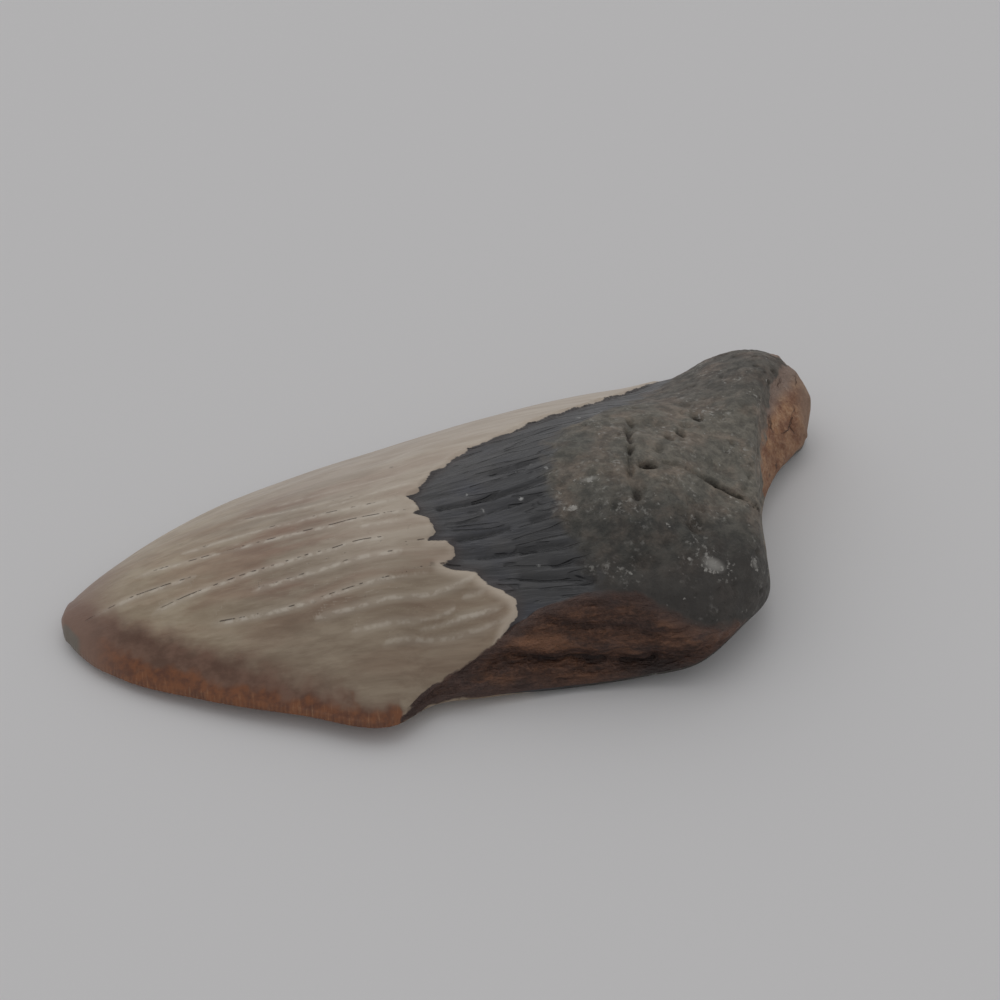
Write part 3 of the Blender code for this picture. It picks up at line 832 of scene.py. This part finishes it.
def blend(share, one, two, way="MIX"):
    """Colour one, going over to colour two by the share."""
    settings = {"data_type": "RGBA", "blend_type": way}
    return Wire(add_node("Mix", settings, {0: share, 6: one, 7: two}).outputs[2])


def rgb(red, green, blue):
    """A colour as seen on a screen, 0 to 255, turned into the linear light that shaders use."""
    share = np.array([red, green, blue]) / 255
    linear = np.where(share <= 0.04045, share / 12.92, ((share + 0.055) / 1.055) ** 2.4)
    return (*linear, 1.0)


def tint(colour, share, tone):
    """The colour, going over to a plain tone by the share."""
    return blend(share, colour, rgb(*tone))


def together(**parts):
    """Three numbers as one place."""
    return Wire(add_node("CombineXYZ", {}, parts).outputs[0])


def mapped(**inputs):
    """A place moved and scaled. Without a vector, the location alone becomes the place."""
    return Wire(add_node("Mapping", {}, inputs).outputs["Vector"])


def noise(place, scale, detail, roughness=0.5):
    inputs = {"Vector": place, "Scale": scale, "Detail": detail, "Roughness": roughness}
    return Wire(add_node("TexNoise", {}, inputs).outputs["Fac"])


# %% Node groups
KINDS = {"Position": "Vector", "Colour": "Color"}    # what a socket holds, by the first word of its name


def node_group(name, inputs, outputs="Colour, Roughness, Height"):
    """An empty group with named sockets, the position first. Returns its output node, and a wire from
    each of its inputs."""
    tree = bpy.data.node_groups.new(name, "ShaderNodeTree")
    inputs = ("Position, " + inputs).split(", ")
    for direction, names in (("INPUT", inputs), ("OUTPUT", outputs.split(", "))):
        for socket_name in names:
            kind = "NodeSocket" + KINDS.get(socket_name.split()[0], "Float")
            tree.interface.new_socket(socket_name, in_out=direction, socket_type=kind)
    entry = tree.nodes.new("NodeGroupInput")
    leave = tree.nodes.new("NodeGroupOutput")
    return leave, *(Wire(entry.outputs[socket_name]) for socket_name in inputs)


def finish_group(leave, *wires):
    for socket, wire in zip(leave.inputs, wires):
        feed(socket, wire)
    return leave.id_data


def place_group(group, **inputs):
    """Adds the group as one node. Returns its outputs by name."""
    node = inputs["Position"].tree.nodes.new("ShaderNodeGroup")
    node.node_tree = group
    for name, value in inputs.items():
        feed(node.inputs[name.replace("_", " ")], value)
    return {socket.name: Wire(socket) for socket in node.outputs}


# %% [markdown]
# ## Effects that several finishes share
#
# Mottling, grains and fissures turn up in every tissue of the fossil. Each is a node group with
# named sockets, made once. Mottling blends two colours by noise on stretched coordinates. Grains
# are round cells of a Voronoi pattern, of which only a few are kept by chance. A fissure follows
# the ribs: the mesh carries the distance from the nearest one, and the group draws it as a pale
# healed band and a thin, broken dark line.

# %% Groups: mottling, grains and fissure
def make_mottling():
    """Colour A going over to colour B where noise of this size, stretched along x, is high."""
    leave, position, size, stretch, low, high, colour_a, colour_b = node_group(
        "mottling", "Size, Stretch, Low, High, Colour A, Colour B", "Colour, Share")
    stretched = together(X=stretch, Y=1.0, Z=1.0)
    scale = 1.0 / size
    share = ramp(noise(mapped(Vector=position, Scale=stretched), scale, 4.0, 0.6), low, high)
    return finish_group(leave, blend(share, colour_a, colour_b), share)


def make_grains():
    """Spots of about this size, fewer as Rarity rises to 1: cells of a Voronoi pattern, pulled out of
    round by a noise, kept where the cell's random number is over the rarity."""
    leave, position, size, rarity = node_group("grains", "Size, Rarity", "Mask")
    scale = 1.0 / size
    pull = noise(position, scale * 1.8, 2.0)
    pulled = mapped(Vector=position, Location=together(X=pull, Y=pull * -1.3))
    cells = add_node("TexVoronoi", {}, {"Vector": pulled, "Scale": scale}).outputs
    chance = add_node("SeparateColor", {}, {"Color": Wire(cells["Color"])}).outputs
    kept = ramp(Wire(chance[0]), rarity, rarity + 0.03)
    reach = Wire(chance[1]) * 0.28
    spot = ramp(Wire(cells["Distance"]) + reach, 0.10, 0.46, 1.0, 0.0)
    return finish_group(leave, kept * spot)


def make_fissure():
    """A pale band near the line where Across is 0, beaded by a noise, and along its upper side a
    thin dark line, open where another noise is high."""
    leave, position, across, strength, cracked = node_group(
        "fissure", "Across, Strength, Cracked", "Bands, Lines")
    away = abs(across)
    beads = noise(position, 0.8, 3.0)
    narrow = ramp(away, 0.06, 0.62, 1.0, 0.0) * ramp(beads, 0.36, 0.64, 0.35, 1.0)
    wide = ramp(away, 0.1, 1.1, 0.38, 0.0)
    bands = maths("MAXIMUM", narrow, wide) * strength
    torn = noise(position, 0.7, 3.0) + cracked * 0.15
    upper = abs(across - 0.22)
    lines = ramp(upper, 0.02, 0.12, 1.0, 0.0) * ramp(torn, 0.60, 0.70)
    return finish_group(leave, bands, lines * ramp(cracked, 0.0, 0.4))


mottling, grains, fissure = make_mottling(), make_grains(), make_fissure()
print("shared effects:", mottling.name, grains.name, fissure.name)


# %% Mottling as a layer
def mottled(position, size, stretch, low, high, *tones):
    """The mottling with its values and, where its colour is used, its two tones."""
    colours = {name: rgb(*tone) for name, tone in zip(("Colour_A", "Colour_B"), tones)}
    return place_group(mottling, Position=position, Size=size, Stretch=stretch, Low=low, High=high,
                       **colours)


def soft_light(colour, strength, layer):
    """The layer lightens or darkens the colour, by how far its own colour is over or under half of
    full light."""
    return blend(strength, colour, layer["Colour"], "SOFT_LIGHT")


def grainy(position, size, rarity):
    """Where the grains are, as a mask."""
    return place_group(grains, Position=position, Size=size, Rarity=rarity)["Mask"]


# %% [markdown]
# ## Finish: enamel
#
# Fossil enamel is glossy and keeps the colours of its mud: cream and tan in bands that run with
# the growth, pale ribs, a brown stain that creeps in from the cutting edge, and an orange, finely
# serrated edge. Painting it by hand would fix it to one map; here each layer is a blend over the
# one before, driven by the distances on the mesh.

# %% Group: enamel
SERRATION = 0.65               # millimetres from one serration of the cutting edge to the next
STAIN_DEPTH, STAIN_END = 9.6, 54   # how far the stain creeps in near the tip, and where it ends


def make_enamel():
    """Layers from the bottom: tan mottled with pink, grey to the near side, cream to the whole
    side, ribs, cracks, the pale border with a painted highlight on the near lobe's rolled rim, the stain,
    the orange edge with serrations, the tip."""
    (leave, position, x, y, enamel_in, near_in, edge_in, edge_run, rib_across, rib_strength,
     rib_cracked) = node_group(
        "fossil_enamel",
        "X, Y, Enamel In, Near In, Edge In, Edge Run, Rib Across, Rib Strength, Rib Cracked")
    colour = mottled(position, 5.0, 0.16, 0.42, 0.62, (170, 156, 140), (158, 132, 115))["Colour"]
    colour = tint(colour, ramp(y, -3, -15, 0.0, 0.75), (166, 151, 133))
    colour = tint(colour, ramp(y, 2, 26, 0.0, 0.9), (202, 191, 179))
    colour = tint(colour, ramp(x, 36, 15, 0.0, 0.45), (198, 184, 160))
    colour = tint(colour, ramp(enamel_in, 20, 3, 0.0, 0.6) * ramp(y, -11, -2), (212, 201, 188))
    threads = mottled(position, 0.9, 0.07, 0.35, 0.65, (166, 163, 160), (204, 203, 201))
    colour = soft_light(colour, 0.4, threads)
    streaks = mottled(position, 2.2, 0.14, 0.36, 0.64, (160, 155, 150), (212, 212, 210))
    colour = soft_light(colour, 0.5, streaks)
    clouds = mottled(position, 3.0, 0.5, 0.35, 0.7, (114, 112, 110), (140, 138, 136))
    colour = soft_light(colour, 0.6, clouds)
    ribs = place_group(fissure, Position=position, Across=rib_across, Strength=rib_strength,
                       Cracked=rib_cracked)
    colour = tint(colour, ribs["Bands"] * 0.68, (216, 206, 192))
    # The pale border is the enamel's own colour; on the near lobe it also paints the highlight of the rolled
    # rim.
    border = ramp(enamel_in, 1.6, 0.2) * ramp(y, -4, -10, 0.22, 0.66)
    colour = tint(colour, border, (214, 200, 183))
    colour = tint(colour, ribs["Lines"] * 0.75, (70, 52, 44))
    colour = tint(colour, grainy(position, 1.4, 0.94) * 0.5, (96, 88, 74))
    # The stain is deepest near the tip and thins out along the edge as a parabola.
    depth = STAIN_DEPTH * (1.0 - (x / STAIN_END) ** 2.0)
    ragged = noise(position, 0.22, 3.0)
    stain = ramp(depth + (ragged - 0.5) * 6.0 - near_in, -2.2, 2.4)
    stain_tones = mottled(position, 2.6, 0.8, 0.36, 0.66, (120, 88, 72), (94, 63, 48))
    colour = blend(stain * 0.95, colour, stain_tones["Colour"])
    rust_in = ragged * 7.6 - near_in + ramp(x, 28, 12, 0.0, 1.0) + ramp(x, 41, 47, 0.0, -1.5)
    rust = ramp(rust_in, -0.2, 1.6) * ramp(x, 3.5, 8)
    rust_tones = mottled(position, 1.6, 1.0, 0.35, 0.65, (132, 79, 44), (98, 57, 37))
    colour = blend(rust * 0.9, colour, rust_tones["Colour"])
    # Serrations show as a fine wave at the very edge, and as stray pale streaks a little way in.
    over_edge = mapped(Location=together(X=near_in, Y=edge_run))
    streaky = mottled(over_edge, 0.45, 0.13, 0.54, 0.72)["Share"]
    wave = maths("SINE", edge_run * (2 * np.pi / SERRATION))
    teeth = ramp(wave, -0.4, 0.9) * ramp(edge_in, 1.5, 0.2) * (streaky * 0.7 + 0.3)
    colour = tint(colour, teeth * 0.4, (176, 132, 94))
    colour = tint(colour, streaky * ramp(edge_in, 3.4, 0.8) * 0.38, (178, 136, 100))
    colour = tint(colour, ramp(x, 12, 2, 0.0, 0.8), (134, 106, 92))
    chip = ramp(x, 3.6, 2.6) * ramp(y, 0.4, -0.8) * ramp(near_in, 3.2, 2.2, 0.0, 0.85)
    colour = tint(colour, chip, (112, 107, 98))
    roughness = add_up(0.36, (ribs["Bands"], 0.12), (threads["Share"], 0.06))
    height = add_up(ribs["Bands"] * 0.03, (ribs["Lines"], -0.14), (streaks["Share"], 0.04), (teeth, 0.12))
    return finish_group(leave, colour, roughness, height)


enamel = make_enamel()
print("finish:", enamel.name, len(enamel.nodes), "nodes")

# %% [markdown]
# ## Finish: bourlette
#
# The bourlette was thin, rough enameloid that took up iron and turned blue-black. It has a dull
# shine, fibres that spread from the middle of the blade, dark scores, painted shade towards the root,
# and here and there a bright speck, partly mineral and partly a painted glint.

# %% Group: bourlette
def make_bourlette():
    """Noise on stretched grain coordinates gives fibres. Where a second such noise crosses its middle
    value there is a groove, thin and long, and the grooves crowd towards the root."""
    leave, position, along, across, mud, enamel_in, root_in = node_group(
        "bourlette", "Along, Across, Mud, Enamel In, Root In")
    grain = mapped(Location=together(X=along, Y=across))
    colour = mottled(position, 6.0, 0.6, 0.36, 0.64, (108, 106, 105), (93, 94, 101))["Colour"]
    coarse = mottled(grain, 1.5, 0.14, 0.36, 0.64, (70, 70, 73), (140, 141, 147))
    colour = soft_light(colour, 0.65, coarse)
    fine = mottled(grain, 0.5, 0.12, 0.30, 0.70, (110, 110, 112), (170, 170, 172))
    colour = soft_light(colour, 0.45, fine)
    from_middle = abs(noise(mapped(Vector=grain, Scale=(0.12, 1.0, 1.0)), 0.62, 1.0) - 0.5)
    kept = ramp(noise(position, 0.24, 2.0) + ramp(root_in, -15, -2, 0.0, 0.22), 0.55, 0.66)
    groove = ramp(from_middle, 0.010, 0.045, 1.0, 0.0) * kept
    colour = tint(colour, groove * 0.8, (34, 33, 35))
    colour = tint(colour, mud * 0.85, (32, 31, 33))
    # Darker away from the enamel border, and painted shade towards the root.
    tone_and_shade = maths("MAXIMUM", ramp(enamel_in, -10, -3, 0.0, 0.4), ramp(root_in, -13, -3, 0.0, 0.85))
    colour = tint(colour, tone_and_shade, (60, 60, 62))
    colour = tint(colour, ramp(enamel_in, -1.6, -0.1, 0.0, 0.5), (72, 62, 60))
    # Bright specks: partly pale mineral, partly painted glints of light.
    colour = tint(colour, grainy(position, 1.1, 0.955) * 0.9, (190, 190, 188))
    roughness = add_up(0.44, (coarse["Share"], -0.14))
    height = add_up(coarse["Share"] * 0.09, (fine["Share"], 0.035), (groove, -0.26))
    return finish_group(leave, colour, roughness, height)


bourlette = make_bourlette()
print("finish:", bourlette.name, len(bourlette.nodes), "nodes")

# %% [markdown]
# ## Finish: root stone
#
# The root turned to grey-brown stone. It is matt and grainy, paler where minerals grew in its
# pores, and darker in its clefts and hollows.

# %% Group: root stone
def make_root():
    """Three sizes of mottling, pinkish patches, painted shade on the near side, darker hollows, a pale
    crust that comes and goes, and patches of pale mineral where the mesh says so."""
    leave, position, x, y, z, mud, mineral = node_group("root_stone", "X, Y, Z, Mud, Mineral")
    colour = mottled(position, 8.0, 1.0, 0.38, 0.62, (118, 115, 109), (132, 125, 116))["Colour"]
    colour = tint(colour, ramp(x, 78, 92, 0.0, 0.65), (147, 141, 132))
    colour = tint(colour, ramp(y, 17, 32, 0.0, 0.8), (112, 106, 101))
    # Painted shade: darker on the near, lower side of the root, a little less towards the lobe's end.
    shade_weight = ramp(x, 91, 99, 1.0, 0.85)
    colour = tint(colour, ramp(y, 3, -8, 0.0, 0.85) * shade_weight, (80, 78, 75))
    warm = mottled(position, 5.0, 1.0, 0.42, 0.66, (156, 159, 157), (196, 182, 174))
    colour = soft_light(colour, 0.8, warm)
    patches = mottled(position, 1.7, 1.0, 0.34, 0.66, (124, 126, 126), (196, 194, 190))
    colour = soft_light(colour, 0.8, patches)
    speckle = mottled(position, 0.45, 1.0, 0.32, 0.68, (112, 112, 113), (180, 179, 176))
    colour = soft_light(colour, 0.45, speckle)
    # More painted shade low on the near side, beside the break.
    shade = ramp(y, -4, -12, 0.0, 0.8) * ramp(z, 19, 14)
    colour = tint(colour, shade * shade_weight, (62, 58, 55))
    crusty = mottled(position, 6.0, 1.0, 0.50, 0.66)["Share"]
    lace = mottled(position, 0.8, 1.0, 0.52, 0.66)["Share"]
    pale = grainy(position, 0.8, 0.90)
    crust = maths("MAXIMUM", crusty * lace * 0.42, pale * 0.7)
    patch = mineral + (lace - 0.6) * 0.55
    crust = maths("MAXIMUM", crust, ramp(patch, 0.22, 0.75, 0.0, 0.62))
    colour = tint(colour, crust, (190, 187, 181))
    colour = tint(colour, mud * 0.9, (44, 38, 35))
    roughness = add_up(0.66, (patches["Share"], -0.10))
    height = add_up(patches["Share"] * 0.12, (speckle["Share"], 0.05), (crust, 0.12))
    return finish_group(leave, colour, roughness, height)


root_stone = make_root()
print("finish:", root_stone.name, len(root_stone.nodes), "nodes")

# %% [markdown]
# ## Finish: broken dentine and base rock
#
# The break shows the inside: red-brown sheets, nearly black in the split and rusty on the ledges.
# The scar at the base of the whole lobe is a sandy orange, with fine cracks.

# %% Groups: broken dentine and base rock
def make_break():
    """Stretched mottling of two browns, rust where the surface stands out, black where it is
    deep, painted shade under the rim and along the foot, and darker in the corner."""
    leave, position, x, z, stand, mud, broken_in = node_group("broken_dentine", "X, Z, Stand, Mud, Broken In")
    colour = mottled(position, 2.6, 0.45, 0.38, 0.64, (100, 74, 64), (128, 92, 70))["Colour"]
    splinters = mottled(position, 0.9, 0.25, 0.32, 0.68, (82, 80, 80), (172, 168, 164))
    colour = soft_light(colour, 0.75, splinters)
    crumbs = mottled(position, 0.4, 0.6, 0.32, 0.68, (88, 86, 86), (186, 184, 182))
    colour = soft_light(colour, 0.75, crumbs)
    rusty = mottled(position, 3.4, 0.5, 0.44, 0.60)["Share"]
    colour = tint(colour, ramp(stand, -0.4, 0.7, 0.0, 0.62) * rusty, (150, 104, 74))
    # Painted shade under the rim, round the borders of the break.
    colour = tint(colour, ramp(broken_in, 3.2, 0.6, 0.0, 0.62), (88, 70, 65))
    colour = tint(colour, mud * 0.92, (40, 26, 24))
    colour = tint(colour, ramp(x, 56, 49, 0.0, 0.6), (60, 44, 40))
    # Painted shade low along the foot of the break.
    colour = tint(colour, ramp(z, 4.6, 2.6) * ramp(x, 74, 86, 0.0, 0.85), (46, 40, 40))
    roughness = add_up(0.60, (splinters["Share"], -0.14))
    height = add_up(splinters["Share"] * 0.30, (crumbs["Share"], 0.12))
    return finish_group(leave, colour, roughness, height)


def make_base():
    """Two oranges mottled, grey-pink towards the top and the end, browner towards the foot, and a
    few dark cracks on cell borders that show only in patches."""
    leave, position, x, z, mud = node_group("base_rock", "X, Z, Mud")
    colour = mottled(position, 3.0, 1.0, 0.38, 0.62, (204, 166, 134), (166, 124, 98))["Colour"]
    sand = mottled(position, 0.6, 1.0, 0.32, 0.68, (84, 82, 80), (172, 170, 168))
    colour = soft_light(colour, 0.75, sand)
    colour = tint(colour, ramp(z, 10.5, 13.0, 0.0, 0.85), (156, 138, 128))
    colour = tint(colour, ramp(x, 117.5, 121, 0.0, 0.7), (160, 138, 122))
    colour = tint(colour, ramp(z, 11, 6, 0.0, 0.4), (132, 98, 76))
    pull = noise(position, 0.5, 3.0) * 4.0
    pulled = mapped(Vector=position, Location=together(Y=pull, Z=pull * -0.8))
    cells = add_node("TexVoronoi", {"feature": "DISTANCE_TO_EDGE"}, {"Vector": pulled, "Scale": 0.15})
    open_here = noise(position, 0.2, 1.0)
    cracks = ramp(Wire(cells.outputs["Distance"]), 0.004, 0.03, 1.0, 0.0) * ramp(open_here, 0.54, 0.64)
    colour = tint(colour, cracks * 0.75, (84, 60, 48))
    colour = tint(colour, mud * 0.75, (92, 62, 50))
    height = add_up(sand["Share"] * 0.18, (cracks, -0.25))
    roughness = add_up(0.74, (sand["Share"], -0.08))
    return finish_group(leave, colour, roughness, height)


broken_dentine, base_rock = make_break(), make_base()
print("finishes:", broken_dentine.name, base_rock.name)

# %% [markdown]
# ## One material for the whole tooth
#
# Five materials on five sets of faces would meet in hard, jagged lines. One material with five
# finishes blends them by the border distances, so each line is as crisp or as soft as the real one:
# crisp where enamel ends, soft where the bourlette fades into the root.

# %% The material
BUMP_DISTANCE = MM             # the heights in the groups are in millimetres


def go_over(share, one, two):
    """One plus the share of the difference from one to two."""
    return maths("MULTIPLY_ADD", share, two - one, one)


def make_tooth_material():
    """Places the five finishes, and blends colour, roughness and height by the same four masks."""
    material = bpy.data.materials.new("fossil_tooth_dressed")
    material.use_nodes = True
    tree = material.node_tree
    shader = tree.nodes["Principled BSDF"]
    coordinates = Wire(add_node("TexCoord", {}, {}, tree).outputs["Object"])
    position = mapped(Vector=coordinates, Location=tuple(tip_shift), Scale=(1 / MM,) * 3)
    read = {name: Wire(add_node("Attribute", {"attribute_name": name}, {}, tree).outputs["Fac"])
            for name in attributes}
    wobble = noise(position, 0.35, 3.0) - 0.5
    grain = together(X=read["along"] * 0.3, Y=read["across"])
    jagged = (noise(mapped(Location=grain), 1.1, 3.0) - 0.5) * 1.1
    broken = add_up(read["broken_in"], (wobble, 2.0))
    crisp = ramp(read["x"], 62, 76, 4.0, 1.0)
    layers = (                 # the finish, the numbers it reads, how far in it is, its border's softness
        (bourlette, "along across mud enamel_in root_in", None, None),
        (root_stone, "x y z mud mineral", add_up(read["root_in"], (wobble, 7.0)), (-1.6, 1.6)),
        (enamel, "x y enamel_in near_in edge_in edge_run rib_across rib_strength rib_cracked",
         read["enamel_in"] + jagged, (-0.06, 0.10)),
        (broken_dentine, "x z stand mud broken_in", broken * crisp, (-0.4, 1.0)),
        (base_rock, "x z mud", add_up(read["base_in"], (wobble, 3.2)), (-0.3, 0.6)),
    )
    for group, names, inside, softness in layers:
        numbers = {name.title(): read[name] for name in names.split()}
        finish = place_group(group, Position=position, **numbers).values()
        if inside is None:
            colour, roughness, height = finish
            continue
        new_colour, new_roughness, new_height = finish
        mask = ramp(inside, *softness)
        colour = blend(mask, colour, new_colour)
        roughness = go_over(mask, roughness, new_roughness)
        height = go_over(mask, height, new_height)
    bump = add_node("Bump", {}, {"Strength": 1.0, "Distance": BUMP_DISTANCE, "Height": height})
    feed(shader.inputs["Base Color"], colour)
    feed(shader.inputs["Roughness"], roughness)
    feed(shader.inputs["Normal"], Wire(bump.outputs["Normal"]))
    feed(shader.inputs["Metallic"], 0.0)
    return material


tip_shift = low - low_corner
tooth_material = make_tooth_material()
print("material:", tooth_material.name, len(tooth_material.node_tree.nodes), "nodes")

# %% [markdown]
# ## Put the tooth on its solid
#
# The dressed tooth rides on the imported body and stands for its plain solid.

# %% Place the tooth
def put(name, data):
    """A new object in the scene, at the origin."""
    thing = bpy.data.objects.new(name, data)
    bpy.context.scene.collection.objects.link(thing)
    return thing


mesh.materials.append(tooth_material)
tooth = put("tooth", mesh)
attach(tooth, "root")
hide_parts(TOOTH)
print("placed:", tooth.name)

# %% [markdown]
# ## The studio
#
# A plain pale table and soft light from above and a little behind. A very wide sun keeps the table
# evenly lit, which an area light close by wouldn't, and the world fills the shadows.

# %% Floor, light and camera
FLOOR_SIDE = 6.0               # metres
CAMERA_FROM_TIP = (43.24, -172.01, 155.13)
TARGET_FROM_TIP = (67.64, 25.04, 0.0)
FIELD_OF_VIEW = 36             # degrees
SUN_TURN, SUN_HEIGHT, SUN_WIDTH = 112, 50, 75    # degrees: round from +X, over the table, its width
SUN_STRENGTH, WORLD_STRENGTH = 0.46, 0.448


def make_floor():
    half = FLOOR_SIDE / 2
    corners = [(-half, -half, 0), (half, -half, 0), (half, half, 0), (-half, half, 0)]
    floor_mesh = bpy.data.meshes.new("floor")
    floor_mesh.from_pydata(corners, [], [(0, 1, 2, 3)])
    paper = bpy.data.materials.new("pale_paper")
    paper.use_nodes = True
    shader = paper.node_tree.nodes["Principled BSDF"]
    feed(shader.inputs["Base Color"], rgb(228, 227, 228))
    feed(shader.inputs["Roughness"], 0.9)
    floor_mesh.materials.append(paper)
    return put("floor", floor_mesh)


def aim(thing, back):
    """Turns the thing so that it looks away from this direction."""
    thing.rotation_euler = back.to_track_quat("Z", "Y").to_euler()


def make_sun():
    turn, height = np.radians(SUN_TURN), np.radians(SUN_HEIGHT)
    light = bpy.data.lights.new("soft_sun", "SUN")
    light.energy, light.angle = SUN_STRENGTH, np.radians(SUN_WIDTH)
    to_sun = (np.cos(turn) * np.cos(height), np.sin(turn) * np.cos(height), np.sin(height))
    aim(put("soft_sun", light), Vector(to_sun))


def from_tip(place):
    """A place measured from the tip, in millimetres, as one in the shared frame, in metres."""
    return Vector((np.array(place) - tip_shift) * MM)


def make_camera():
    camera = put("camera", bpy.data.cameras.new("camera"))
    camera.data.angle = np.radians(FIELD_OF_VIEW)
    camera.location = from_tip(CAMERA_FROM_TIP)
    aim(camera, camera.location - from_tip(TARGET_FROM_TIP))
    bpy.context.scene.camera = camera


def make_world():
    world = bpy.data.worlds.new("studio")
    world.use_nodes = True
    background = world.node_tree.nodes["Background"]
    feed(background.inputs["Color"], (1.0, 1.0, 1.0, 1.0))
    feed(background.inputs["Strength"], WORLD_STRENGTH)
    bpy.context.scene.world = world


floor = make_floor()
make_sun()
make_camera()
make_world()
bpy.context.scene.view_settings.view_transform = "Standard"
print("camera at, m:", [round(c, 4) for c in bpy.context.scene.camera.location])
